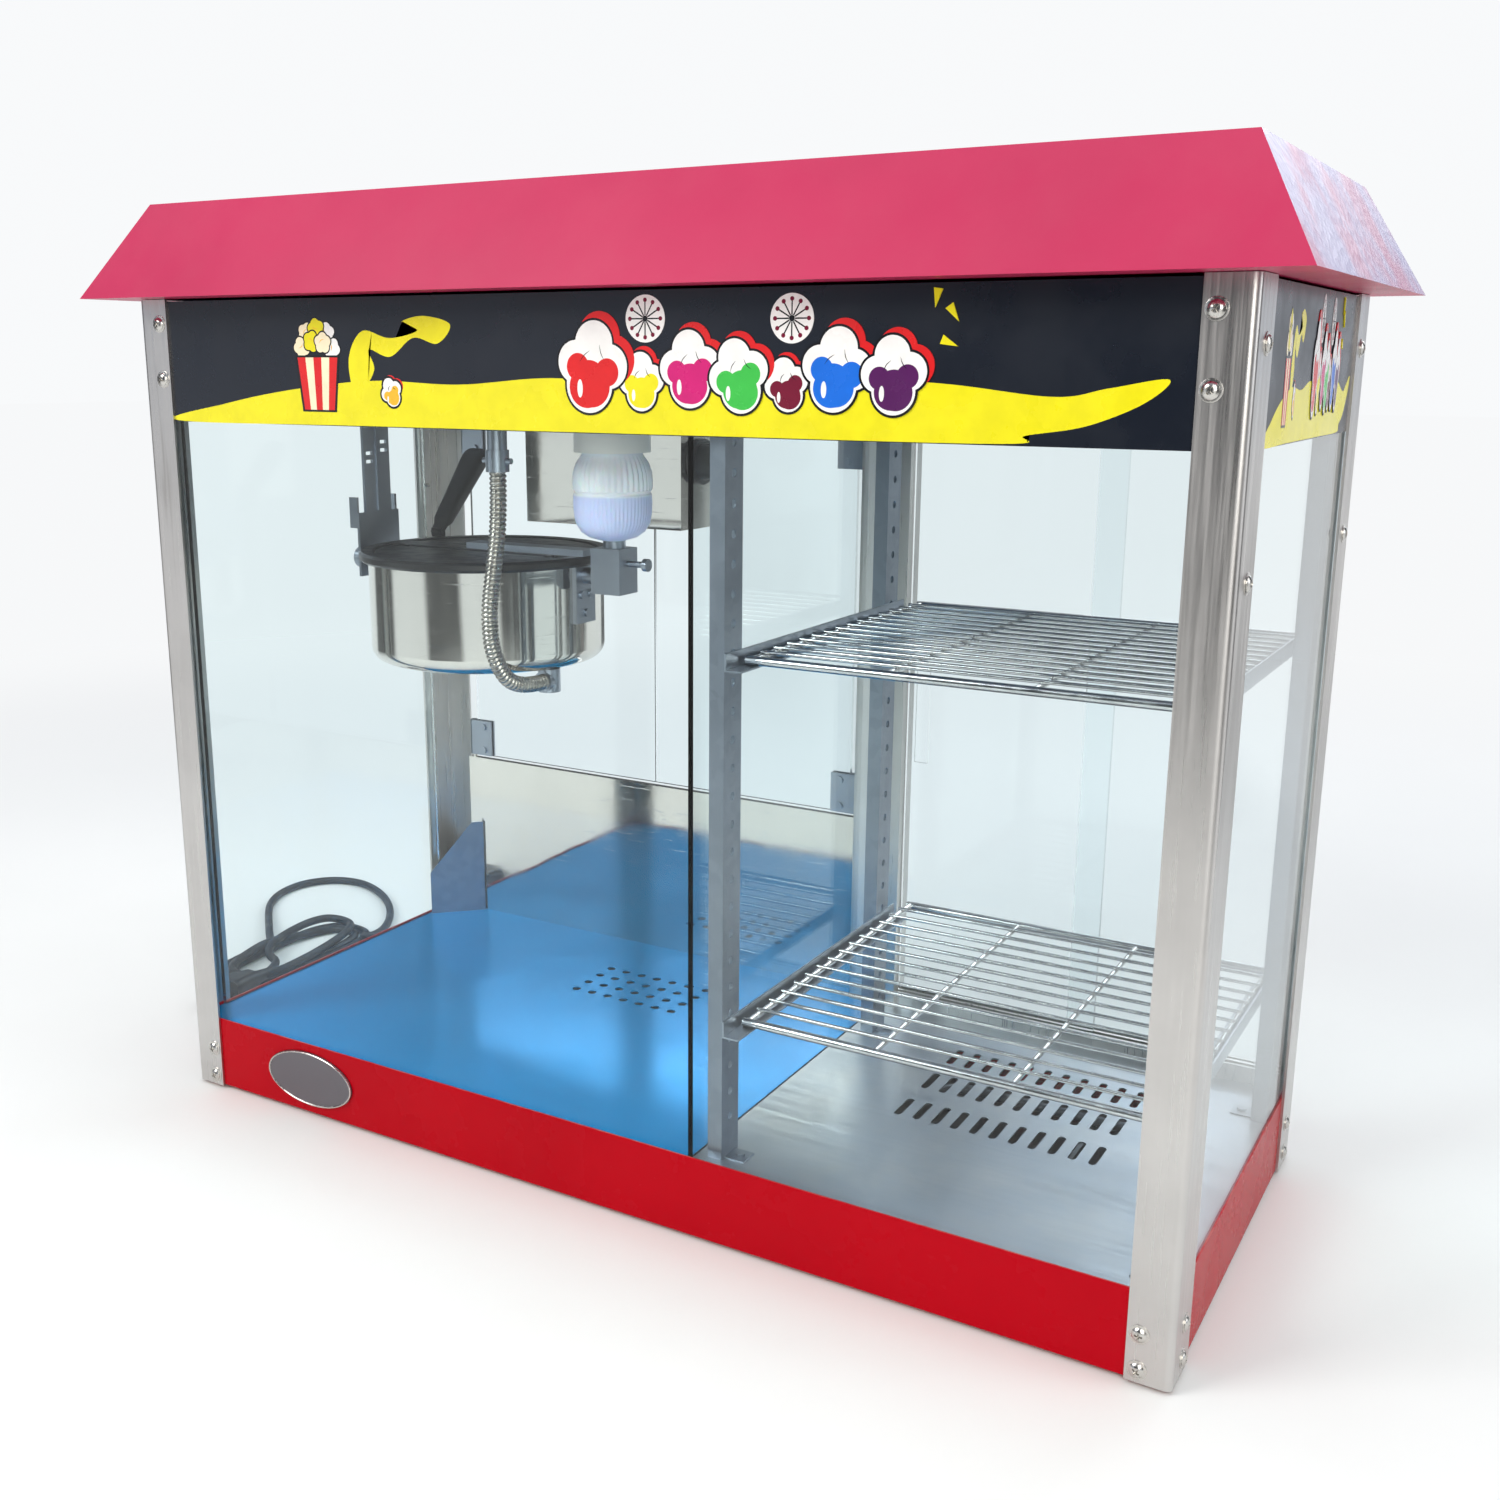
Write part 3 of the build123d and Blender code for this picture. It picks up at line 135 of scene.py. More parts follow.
class Shader(Nodes):
    """A procedural material that starts from one Principled shader."""

    def __init__(self, name, colour, roughness, **sockets):
        self.material = bpy.data.materials.new(name)
        self.material.use_nodes = True
        super().__init__(self.material.node_tree, "Object")
        self.bsdf = self.tree.nodes["Principled BSDF"]
        self.bsdf.inputs["Base Color"].default_value = colour
        self.bsdf.inputs["Roughness"].default_value = roughness
        for socket, value in sockets.items():
            self.bsdf.inputs[socket.replace("_", " ")].default_value = value
        self.last_normal = None

    def facing(self, axis):
        """How much of the surface normal is along an axis, from -1 to 1."""
        return self.part(axis, self.add("ShaderNodeNewGeometry").outputs["Normal"])

    def noise(self, scale, detail=4.0, stretch=(1, 1, 1), roughness=0.55, distortion=0.0):
        mapped = self.add("ShaderNodeMapping", {"Vector": self.place, "Scale": stretch})
        node = self.add(
            "ShaderNodeTexNoise",
            {
                "Vector": mapped.outputs[0], "Scale": scale, "Detail": detail,
                "Roughness": roughness, "Distortion": distortion,
            },
        )
        return node.outputs[0]

    def colour(self):
        """What feeds the base colour now."""
        socket = self.bsdf.inputs["Base Color"]
        if socket.is_linked:
            return socket.links[0].from_socket
        return tuple(socket.default_value)

    def tint(self, factor, colour, blend="MIX"):
        """Lay another colour over the base colour."""
        self.feed(self.bsdf.inputs["Base Color"], self.mix(factor, self.colour(), colour, blend))

    def mottle(self, scale, dark, light):
        """Let the colour wander between a darker and a lighter shade of itself."""
        shade = self.remap(self.noise(scale), *NOISE_MIDDLE, dark, light)
        self.tint(1.0, self.grey(shade), "MULTIPLY")

    def rough(self, scale, low, high, **noise):
        """Let the roughness wander between two values."""
        wandering = self.remap(self.noise(scale, **noise), *NOISE_MIDDLE, low, high)
        self.feed(self.bsdf.inputs["Roughness"], wandering)

    def bump(self, height, depth):
        """Raise the surface by a height in 0 to 1, times a depth in metres."""
        inputs = {"Height": height, "Distance": depth, "Strength": 1.0}
        if self.last_normal is not None:
            inputs["Normal"] = self.last_normal
        self.last_normal = self.add("ShaderNodeBump", inputs).outputs[0]
        self.feed(self.bsdf.inputs["Normal"], self.last_normal)

    def dust(self, amount):
        """Fine dust that lies on faces that look up."""
        lying = self.remap(self.facing(Z), 0.4, 1.0)
        patches = self.remap(self.noise(14.0, detail=8.0, roughness=0.7), 0.35, 0.75)
        self.tint(self.math("MULTIPLY", self.math("MULTIPLY", lying, patches), amount), DUST)

    def scratches(self, depth, colour, stretch, scale):
        """Sparse fine lines along one way."""
        lines = self.remap(self.noise(scale, stretch=stretch, roughness=0.8), 0.62, 0.72)
        self.bump(lines, -depth)
        if colour is not None:
            self.tint(self.math("MULTIPLY", lines, 0.4), colour)


DUST = linear(0.78, 0.75, 0.70)
BLACK = (0.0, 0.0, 0.0, 1.0)
BRUSH_Z = (1, 1, 0.02)
BRUSH_X = (0.02, 1, 0.05)


def metal(name, colour, low, high, brush, depth=0.00001):
    """Bare metal with a brushed grain."""
    shader = Shader(name, colour, low, Metallic=1.0)
    shader.mottle(9.0, 0.92, 1.04)
    shader.rough(420.0, low, high, stretch=brush, detail=6.0)
    shader.bump(shader.noise(700.0, stretch=brush, detail=3.0), depth)
    return shader


def paint(name, colour, low, high, peel=0.00003, **sockets):
    """Sprayed and baked paint with a slight orange peel."""
    shader = Shader(name, colour, low, **sockets)
    shader.mottle(5.0, 0.93, 1.03)
    shader.rough(24.0, low, high, detail=6.0)
    shader.bump(shader.noise(330.0, detail=2.0), peel)
    return shader


def plastic(name, colour, low, high, grain=0.00003, **sockets):
    """Moulded plastic with a fine grain."""
    shader = Shader(name, colour, low, **sockets)
    shader.mottle(30.0, 0.92, 1.04)
    shader.rough(60.0, low, high, detail=5.0)
    shader.bump(shader.noise(1500.0, detail=3.0), grain)
    return shader


def clear(name, tint, haze):
    """Glass or acrylic that lets lamps through, with a few smudges."""
    shader = Shader(name, tint, 0.0, Transmission_Weight=1.0, IOR=GLASS_IOR)
    shader.rough(11.0, 0.0, haze, detail=8.0, roughness=0.7)
    through = shader.add("ShaderNodeBsdfTransparent", {"Color": tint})
    lamp_ray = shader.add("ShaderNodeLightPath").outputs["Is Shadow Ray"]
    surface = shader.add(
        "ShaderNodeMixShader",
        {0: lamp_ray, 1: shader.bsdf.outputs[0], 2: through.outputs[0]},
    )
    output = shader.tree.nodes["Material Output"]
    shader.tree.links.new(surface.outputs[0], output.inputs["Surface"])
    return shader


def roof_paint():
    shader = paint(
        "roof_paint", linear(0.73, 0.16, 0.33), 0.34, 0.42, 0.000008, Specular_IOR_Level=0.3
    )
    # Painted glare: faces that look along X, the roof's ends, get a patchy pale lavender tint that stands
    # in for the sky's glare on them. The same end mask also carries a real blistered film, as a bump.
    end_film_and_glare = shader.remap(shader.math("ABSOLUTE", shader.facing(X)), 0.6, 0.9)
    blisters = shader.add(
        "ShaderNodeTexVoronoi", {"Vector": shader.place, "Scale": 150.0, "Randomness": 1.0}
    ).outputs["Distance"]
    painted_glare_patches = shader.remap(shader.noise(16.0, detail=6.0), 0.35, 0.6, 0.45, 0.95)
    # Painted glare laid over the red paint of the roof's ends.
    shader.tint(shader.math("MULTIPLY", end_film_and_glare, painted_glare_patches), linear(0.63, 0.63, 0.76))
    shader.bump(shader.math("MULTIPLY", end_film_and_glare, blisters), 0.0006)
    shader.dust(0.25)
    return shader


def base_paint():
    shader = paint(
        "base_paint", linear(0.70, 0.0, 0.08), 0.25, 0.29, 0.000002, Specular_IOR_Level=0.08
    )
    shader.dust(0.3)
    return shader


def fascia_art():
    shader = paint("fascia_art", linear(0.075, 0.10, 0.145), 0.24, 0.34, 0.00001)
    shader.dust(0.3)
    return shader


def aluminium():
    shader = metal("aluminium", linear(0.80, 0.79, 0.78), 0.26, 0.4, BRUSH_Z, 0.00002)
    shader.scratches(0.00002, linear(0.6, 0.58, 0.56), (1, 1, 0.05), 30.0)
    return shader


def galvanised():
    shader = metal("galvanised", linear(0.54, 0.57, 0.61), 0.3, 0.4, (1, 1, 1))
    spangle = shader.add("ShaderNodeTexVoronoi", {"Vector": shader.place, "Scale": 120.0})
    tone = shader.add("ShaderNodeSeparateColor", {0: spangle.outputs["Color"]}).outputs[0]
    shader.tint(1.0, shader.grey(shader.remap(tone, 0.0, 1.0, 0.93, 1.03)), "MULTIPLY")
    return shader


def stainless():
    shader = metal("stainless", linear(0.62, 0.65, 0.69), 0.28, 0.4, BRUSH_X, 0.000006)
    shader.dust(0.25)
    return shader


def mirror_steel():
    shader = Shader("mirror_steel", linear(0.88, 0.86, 0.83), 0.06, Metallic=1.0)
    shader.mottle(7.0, 0.94, 1.02)
    shader.rough(18.0, 0.035, 0.11, detail=8.0, roughness=0.7)
    shader.bump(shader.noise(14.0, stretch=(1, 1, 0.25), detail=1.0), 0.0008)
    shader.scratches(0.00002, None, (1, 1, 26), 22.0)
    return shader


def wire():
    shader = Shader("wire", linear(0.84, 0.84, 0.84), 0.14, Metallic=1.0)
    shader.mottle(40.0, 0.85, 1.05)
    shader.rough(70.0, 0.1, 0.24, detail=5.0)
    shader.bump(shader.noise(700.0), 0.000004)
    return shader


def blue_floor():
    shader = Shader("blue_floor", linear(0.0, 0.52, 0.76), 0.15, Metallic=0.35, Specular_IOR_Level=0.12)
    shader.bsdf.inputs["Specular Tint"].default_value = linear(0.25, 0.78, 1.0)
    shader.mottle(4.0, 0.88, 1.04)
    shader.rough(10.0, 0.13, 0.2, detail=7.0)
    shader.bump(shader.noise(7.0, detail=2.0, distortion=0.6), 0.0003)
    shader.scratches(0.00003, linear(0.2, 0.62, 0.84), (1, 18, 1), 10.0)
    return shader


def black_coat():
    shader = Shader("black_coat", linear(0.03, 0.03, 0.035), 0.34, Specular_IOR_Level=0.5)
    shader.mottle(50.0, 0.75, 1.25)
    shader.rough(90.0, 0.28, 0.42, detail=6.0)
    shader.bump(shader.noise(1800.0, detail=2.0), 0.00002)
    return shader


def bulb_plastic():
    shader = plastic(
        "bulb_plastic", linear(0.93, 0.94, 0.97), 0.3, 0.4, Subsurface_Weight=0.35,
        Subsurface_Scale=0.02,
    )
    glow = shader.remap(shader.part(Z), 0.530, 0.527)
    shader.tint(glow, linear(0.78, 0.81, 0.95))
    return shader


def conduit_steel():
    shader = Shader("conduit_steel", linear(0.68, 0.66, 0.63), 0.26, Metallic=1.0)
    shader.rough(50.0, 0.22, 0.34, detail=4.0)
    shader.tint(shader.remap(shader.noise(60.0), 0.5, 0.75, 0.0, 0.4), linear(0.45, 0.44, 0.41))
    return shader


def badge_metal():
    shader = metal("badge_metal", linear(0.58, 0.57, 0.59), 0.3, 0.42, BRUSH_X)
    # Painted shade: the badge turns darker towards its +X end.
    shade = shader.remap(shader.part(X), -0.40, -0.34, 0.0, 0.55)
    shader.tint(shade, linear(0.38, 0.36, 0.38))
    return shader


def rubber():
    shader = plastic("rubber", linear(0.07, 0.07, 0.07), 0.7, 0.9, 0.00008)
    shader.dust(0.5)
    return shader


SHADERS = {
    "roof_paint": roof_paint(),
    "base_paint": base_paint(),
    "fascia_art": fascia_art(),
    "aluminium": aluminium(),
    "galvanised": galvanised(),
    "stainless": stainless(),
    "mirror_steel": mirror_steel(),
    "wire": wire(),
    "blue_floor": blue_floor(),
    "glass": clear("glass", linear(0.965, 0.99, 0.993), 0.015),
    "acrylic": clear("acrylic", linear(0.97, 0.988, 0.992), 0.05),
    "badge_metal": badge_metal(),
    "screw_steel": metal("screw_steel", linear(0.8, 0.79, 0.77), 0.15, 0.3, (1, 1, 1), 0.0),
    "black_coat": black_coat(),
    "black_plastic": plastic("black_plastic", linear(0.035, 0.035, 0.04), 0.36, 0.5),
    "white_plastic": plastic("white_plastic", linear(0.92, 0.91, 0.89), 0.3, 0.45),
    "bulb_plastic": bulb_plastic(),
    "red_plastic": plastic("red_plastic", linear(0.75, 0.06, 0.05), 0.2, 0.32),
    "rubber": rubber(),
    "cord_pvc": plastic("cord_pvc", linear(0.03, 0.03, 0.035), 0.42, 0.6, 0.00002),
    "conduit_steel": conduit_steel(),
    "motor_paint": paint("motor_paint", linear(0.18, 0.19, 0.2), 0.35, 0.5),
}

for subpart in frame["record"]["subparts"]:
    mesh = nodes[subpart["node"]].data
    mesh.materials.clear()
    mesh.materials.append(SHADERS[subpart["material_slot"]].material)

# ---- Mesh helpers ----

SHARP_DEG = 35


def bridge(bm, rings):
    """Join each ring of vertices to the next one with quads."""
    for lower, upper in zip(rings, rings[1:]):
        for i in range(len(lower)):
            j = (i + 1) % len(lower)
            bm.faces.new((lower[i], lower[j], upper[j], upper[i]))


def loft(bm, rings):
    """A solid through rings of vertices, closed at both ends."""
    bridge(bm, rings)
    bm.faces.new(rings[0])
    bm.faces.new(rings[-1])


def finish_mesh(name, bm, slot, body=None, replaces=()):
    """Turn a bmesh into a piece that has a record slot's material and rides on a body."""
    bmesh.ops.remove_doubles(bm, verts=bm.verts, dist=1e-7)
    bmesh.ops.recalc_face_normals(bm, faces=bm.faces)
    mesh = bpy.data.meshes.new(name)
    bm.to_mesh(mesh)
    bm.free()
    piece = bpy.data.objects.new(name, mesh)
    bpy.context.scene.collection.objects.link(piece)
    mesh.materials.append(SHADERS[slot].material)
    for polygon in mesh.polygons:
        polygon.use_smooth = True
    mesh.set_sharp_from_angle(angle=math.radians(SHARP_DEG))
    if body is not None:
        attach(piece, body)
    if replaces:
        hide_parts(*replaces)
    return piece


def turned(bm, profile, segments, place, ribs=None):
    """Revolve (radius, height) points about the local Z of a placing matrix."""
    rings = []
    for radius, height in profile:
        ring = []
        for i in range(segments):
            turn = 2 * math.pi * i / segments
            reach = radius if ribs is None else radius + ribs(turn, radius, height)
            point = Vector((reach * math.cos(turn), reach * math.sin(turn), height))
            ring.append(bm.verts.new(place @ point))
        rings.append(ring)
    loft(bm, rings)


def placed(origin, direction):
    """A matrix whose Z looks along a direction from an origin."""
    rotation = Vector(direction).to_track_quat("Z", "Y").to_matrix().to_4x4()
    return Matrix.Translation(Vector(origin)) @ rotation


def curve_points(name, points, radius=0.0):
    """A smooth open NURBS curve through the middle of its control points."""
    curve = bpy.data.curves.new(name, "CURVE")
    curve.dimensions = "3D"
    curve.resolution_u = 12
    curve.bevel_depth = radius
    curve.bevel_resolution = 5
    curve.use_fill_caps = True
    spline = curve.splines.new("NURBS")
    spline.points.add(len(points) - 1)
    for point, place in zip(spline.points, points):
        point.co = (*place, 1.0)
    spline.order_u = 3
    spline.use_endpoint_u = True
    return curve


def centreline(name, points):
    """The points along a NURBS curve's own line."""
    curve = curve_points(name, points)
    holder = bpy.data.objects.new(name, curve)
    bpy.context.scene.collection.objects.link(holder)
    mesh = bpy.data.meshes.new_from_object(holder)
    line = [vertex.co.copy() for vertex in mesh.vertices]
    bpy.data.objects.remove(holder)
    bpy.data.curves.remove(curve)
    bpy.data.meshes.remove(mesh)
    return line


# ---- Camera, floor and light ----

camera_data = bpy.data.cameras.new("camera")
camera_data.lens = 37.8
camera_data.sensor_width = 36.0
camera_data.shift_x = 0.0326
camera_data.shift_y = -0.0059
camera = bpy.data.objects.new("camera", camera_data)
camera.location = (0.6164, -1.0642, 0.6253)
camera.rotation_euler = [math.radians(angle) for angle in (76.438, -0.104, 30.801)]
bpy.context.scene.collection.objects.link(camera)
bpy.context.scene.camera = camera

# Dark gaps between the studio's pale walls, which the polished metal mirrors as bands.
BANDS = 5.0
BAND_PHASE = 5.5
BAND_EDGES = (-0.4, 0.2)


def studio_bands(tree, in_gap, in_band):
    """Bands around the upright axis: one value in the gaps, another between them."""
    swing = tree.math("ADD", tree.math("MULTIPLY", tree.bearing(), BANDS), BAND_PHASE)
    return tree.remap(tree.math("COSINE", swing), *BAND_EDGES, in_gap, in_band)


def studio_floor():
    """A pale floor that glows softly where it is far off, so that it meets the walls unseen."""
    shader = Shader("floor", linear(0.93, 0.93, 0.92), 0.55, Specular_IOR_Level=0.0)
    shader.mottle(2.0, 0.985, 1.0)
    along = shader.math("POWER", shader.part(X), 2.0)
    across = shader.math("POWER", shader.part(Y), 2.0)
    far = shader.remap(shader.math("SQRT", shader.math("ADD", along, across)), 0.9, 2.6)
    shader.tint(far, BLACK)
    shader.bsdf.inputs["Emission Color"].default_value = (0.93, 0.94, 0.95, 1.0)
    mirrored = shader.remap(shader.bounces(), 0.0, 1.0)
    dim = shader.math("MULTIPLY", mirrored, studio_bands(shader, 0.9, 0.0))
    lit = shader.math("MULTIPLY", far, shader.math("SUBTRACT", 1.0, dim))
    shader.feed(shader.bsdf.inputs["Emission Strength"], lit)
    bpy.ops.mesh.primitive_plane_add(size=40)
    floor = bpy.context.object
    floor.name = "floor"
    floor.data.materials.append(shader.material)


def studio_walls():
    """A pale room, seen plain through the glass and banded in the polished metal."""
    world = bpy.data.worlds.new("studio")
    bpy.context.scene.world = world
    world.use_nodes = True
    sky = Nodes(world.node_tree, "Generated")
    backness = sky.remap(sky.part(Y), -0.5, 0.6)
    walls = sky.mix(backness, (0.36, 0.39, 0.45, 1.0), (0.62, 0.66, 0.72, 1.0))
    overhead = sky.remap(sky.part(Z), 0.45, 0.9)
    panels = sky.math("MAXIMUM", studio_bands(sky, 0.12, 1.1), overhead)
    walls = sky.mix(1.0, walls, sky.grey(panels), "MULTIPLY")
    paths = sky.add("ShaderNodeLightPath").outputs
    direct = sky.math("MAXIMUM", paths["Is Camera Ray"], paths["Is Transmission Ray"])
    seen = sky.math("MULTIPLY", direct, sky.math("LESS_THAN", sky.bounces(), 0.5))
    background = world.node_tree.nodes["Background"]
    sky.feed(background.inputs["Color"], sky.mix(seen, walls, (0.84, 0.85, 0.86, 1.0)))
    background.inputs["Strength"].default_value = 1.12


studio_floor()
studio_walls()
bpy.context.scene.view_settings.view_transform = "Standard"


def softbox(name, place, target, size, power, colour=(1, 1, 1)):
    light = bpy.data.lights.new(name, "AREA")
    light.shape = "RECTANGLE"
    light.size = size[0]
    light.size_y = size[1]
    light.energy = power
    light.color = colour
    lamp = bpy.data.objects.new(name, light)
    lamp.location = place
    lamp.rotation_euler = (Vector(target) - Vector(place)).to_track_quat("-Z", "Y").to_euler()
    bpy.context.scene.collection.objects.link(lamp)


softbox("key", (-1.7, -2.3, 2.3), (0, 0, 0.35), (1.4, 1.6), 58, (1.0, 0.98, 0.95))
softbox("front", (1.5, -2.2, 1.5), (0, 0, 0.35), (1.3, 2.0), 34, (1.0, 0.96, 0.88))
softbox("right", (2.6, 0.4, 1.5), (0.2, 0, 0.4), (1.0, 1.8), 12)
softbox("back", (0.4, 2.6, 1.9), (0, 0, 0.3), (2.2, 1.2), 22, (0.95, 0.97, 1.0))
softbox("top", (0, -0.2, 3.0), (0, 0, 0), (2.0, 1.2), 20)

# ---- Power cord ----

CORD_D = 8.5 * MM
CORD_EXIT = (-0.466, 0.115, 0.030)
cord_route = [
    CORD_EXIT,
    (-0.500, 0.115, 0.030),
    (-0.528, 0.135, 0.016),
    (-0.540, 0.176, 0.0046),
    (-0.558, 0.214, 0.0043),
    (-0.593, 0.254, 0.0045),
    (-0.635, 0.284, 0.0043),
    (-0.678, 0.300, 0.0045),
    (-0.716, 0.292, 0.0043),
    (-0.738, 0.262, 0.0045),
    (-0.738, 0.224, 0.0043),
    (-0.720, 0.188, 0.0046),
    (-0.692, 0.158, 0.0050),
    (-0.662, 0.130, 0.0065),
    (-0.640, 0.109, 0.0085),
    (-0.616, 0.088, 0.0090),
]
HANK = Vector((-0.578, 0.084))
HANK_STEPS = 14


def hank_turn(half_width, half_length, height, lean):
    """Points of one long oval turn of the hank, from its half sizes and its lean."""
    straight = half_length - half_width
    for i in range(HANK_STEPS):
        turn = math.pi + 2 * math.pi * i / HANK_STEPS
        across = half_width * math.cos(turn) * 1.12
        along = straight * max(-1, min(1, 1.6 * math.sin(turn))) + half_width * math.sin(turn)
        yield HANK.x + across + lean * along, HANK.y + along, height


cord_route += hank_turn(0.0365, 0.093, 0.0045, 0.03)
cord_route += hank_turn(0.0275, 0.082, 0.0048, 0.0)
cord_route += hank_turn(0.0310, 0.088, 0.0131, -0.16)
cord_route += [(-0.605, 0.078, 0.0135), (-0.582, 0.050, 0.0135), (-0.553, 0.040, 0.0133)]
cord_route += [(-0.545, 0.012, 0.0131)]

cord_curve = curve_points("power_cord_line", cord_route, CORD_D / 2)
power_cord = bpy.data.objects.new("power_cord_line", cord_curve)
bpy.context.scene.collection.objects.link(power_cord)
cord_curve.materials.append(SHADERS["cord_pvc"].material)
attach(power_cord, "machine")
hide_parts("power_cord", "cord_hank")
cord_line = centreline("cord_measure", cord_route)
measured = sum((after - before).length for before, after in zip(cord_line, cord_line[1:]))
print("cord length", round(measured, 3))

# ---- Panel screws ----

FACE_SCREW_Z = (0.012, 0.037, 0.6105, 0.653)
FACE_SCREW_INSET = 0.022
SIDE_SCREW_Z = (0.014, 0.039, 0.505, 0.635)
SIDE_SCREW_INSET = 0.024
SCREW_HEAD_R = 0.0050
SCREW_HEAD_HEIGHT = 0.0030
WASHER = ((0.0066, -0.0002), (0.0066, 0.0005), (0.0052, 0.0008))
SHANK = ((0.0019, -0.005), (0.0019, 0.0))
post_low, post_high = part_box("corner_posts")


def panel_screws():
    """The seat of each panel screw on a post, and the way that its head looks."""
    for side, edge in ((-1, post_low.x), (1, post_high.x)):
        for end, face in ((-1, post_low.y), (1, post_high.y)):
            for z in FACE_SCREW_Z:
                yield Vector((edge - side * FACE_SCREW_INSET, face, z)), Vector((0, end, 0))
            for z in SIDE_SCREW_Z:
                yield Vector((edge, face - end * SIDE_SCREW_INSET, z)), Vector((side, 0, 0))


def cross_head(bm, place, radius, height):
    """A domed screw head with a cross recess, ring by ring from its middle to its rim."""
    slot_half = 0.12 * radius
    slot_depth = 0.5 * height
    slot_end = 0.5
    rings = []
    for share in (0.17, 0.32, 0.46, 0.52, 0.72, 0.9, 1.0):
        reach = share * radius
        edge = math.asin(min(1.0, slot_half / reach))
        dome = height * (1 - 0.6 * share**3)
        ring = []
        for quarter in range(4):
            between = [edge + (math.pi / 2 - 2 * edge) * k / 4 for k in (1, 2, 3)]
            for turn in (-edge, -0.7 * edge, 0.7 * edge, edge, *between):
                cut = abs(turn) < 0.8 * edge and share < slot_end
                angle = quarter * math.pi / 2 + turn
                z = dome - slot_depth if cut else dome
                point = Vector((reach * math.cos(angle), reach * math.sin(angle), z))
                ring.append(bm.verts.new(place @ point))
        rings.append(ring)
    sunk = -0.0003
    skirt = []
    for vertex in rings[-1]:
        rim = place.inverted() @ vertex.co
        skirt.append(bm.verts.new(place @ Vector((rim.x, rim.y, sunk))))
    rings.append(skirt)
    middle = bm.verts.new(place @ Vector((0, 0, height - slot_depth)))
    first = rings[0]
    for k in range(len(first)):
        bm.faces.new((middle, first[k], first[(k + 1) % len(first)]))
    bridge(bm, rings[::-1])
    bm.faces.new(skirt)


random.seed(7)
bm = bmesh.new()
for seat, outward in panel_screws():
    place = placed(seat, outward)
    turn = Matrix.Rotation(random.uniform(0, math.pi / 2), 4, "Z")
    cross_head(bm, place @ turn, SCREW_HEAD_R, SCREW_HEAD_HEIGHT)
    turned(bm, WASHER, 28, place)
    turned(bm, SHANK, 12, place)
finish_mesh("panel_screw_heads", bm, "screw_steel", "machine", replaces=("frame_screws",))

# ---- Badge rim ----

RIM_R = 0.0009
RIM_INSET = 0.0010
RIM_STEPS = 96
RIM_SIDES = 10


def badge_rim():
    """A thin round bead along the edge of the oval badge."""
    low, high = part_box("badge")
    middle = (low + high) / 2
    half = (high - low) / 2
    bm = bmesh.new()
    rings = []
    for i in range(RIM_STEPS):
        turn = 2 * math.pi * i / RIM_STEPS
        ring = []
        for j in range(RIM_SIDES):
            swing = 2 * math.pi * j / RIM_SIDES
            reach = RIM_R * math.cos(swing) - RIM_INSET
            x = middle.x + (half.x + reach) * math.cos(turn)
            z = middle.z + (half.z + reach) * math.sin(turn)
            ring.append(bm.verts.new((x, low.y + RIM_R * math.sin(swing), z)))
        rings.append(ring)
    bridge(bm, [*rings, rings[0]])
    finish_mesh("badge_rim", bm, "screw_steel", "machine")


badge_rim()

# ---- Lamp ----

# Heights between which the collar has cooling ribs and the diffuser has flutes.
RIBS_Z = (0.533, 0.555)
FLUTES_Z = (0.503, 0.529)
THREAD_R = 0.0130
THREAD_LOW = 0.5695
THREAD_STEP = 0.00095


def bulb_ribs(turn, radius, height):
    """Cooling ribs on the collar and fine flutes on the diffuser."""
    if RIBS_Z[0] < height < RIBS_Z[1]:
        return 0.0006 * math.cos(40 * turn)
    if FLUTES_Z[0] < height < FLUTES_Z[1]:
        return 0.00025 * math.cos(60 * turn)
    return 0.0


def bulb():
    """The LED bulb from its diffuser up to its screw cap."""
    low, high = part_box("led_bulb")
    foot = Matrix.Translation(((low.x + high.x) / 2, (low.y + high.y) / 2, 0))
    profile = [(0.0006, 0.494), (0.009, 0.4947), (0.018, 0.4973), (0.024, 0.5015), (0.0277, 0.508)]
    profile += [(0.0289, 0.515), (0.0293, 0.5225), (0.0292, 0.529), (0.0283, 0.5302)]
    profile += [(0.0283, 0.5312), (0.0294, 0.5322), (0.0294, 0.534), (0.0294, 0.5395)]
    profile += [(0.0288, 0.5455), (0.0268, 0.5515), (0.0240, 0.5565), (0.0224, 0.5590)]
    profile += [(0.0224, 0.5672), (0.0218, 0.568)]
    for i in range(24):
        crest = THREAD_R + 0.0004 * math.cos(i * math.pi / 2)
        profile.append((crest, THREAD_LOW + i * THREAD_STEP))
    profile.append((0.0050, 0.592))
    bm = bmesh.new()
    turned(bm, profile, 240, foot, bulb_ribs)
    finish_mesh("bulb_shell", bm, "bulb_plastic", "machine", replaces=("led_bulb",))


bulb()

# ---- Kettle handle ----

grip_low, grip_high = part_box("kettle_handle")
GRIP_FOOT = Vector(((grip_low.x + grip_high.x) / 2 + 0.001, 0.018, 0.480))
GRIP_ALONG = Vector((0, 56, 61))
GRIP_SQUARENESS = 0.55
GRIP_STEPS = 48
# Width, thickness and height of each section, in millimetres from the foot.
GRIP_SECTIONS = (
    (13, 5, -3), (14, 6, 6), (15, 9, 8), (17, 11, 11), (18, 12, 20), (21, 13, 45),
    (25, 14, 74), (25.5, 14, 80), (24, 13, 85), (20, 10.5, 88.4), (13, 7, 89.8), (4, 2, 90),
)
# The lug's outline, in millimetres behind and above its own corner.
LUG = ((16, 8), (14, 7), (14, 0), (9, 0), (8, 2), (8, 8))
LUG_HALF = 0.0055
LUG_CORNER = (7.0, 474.0)


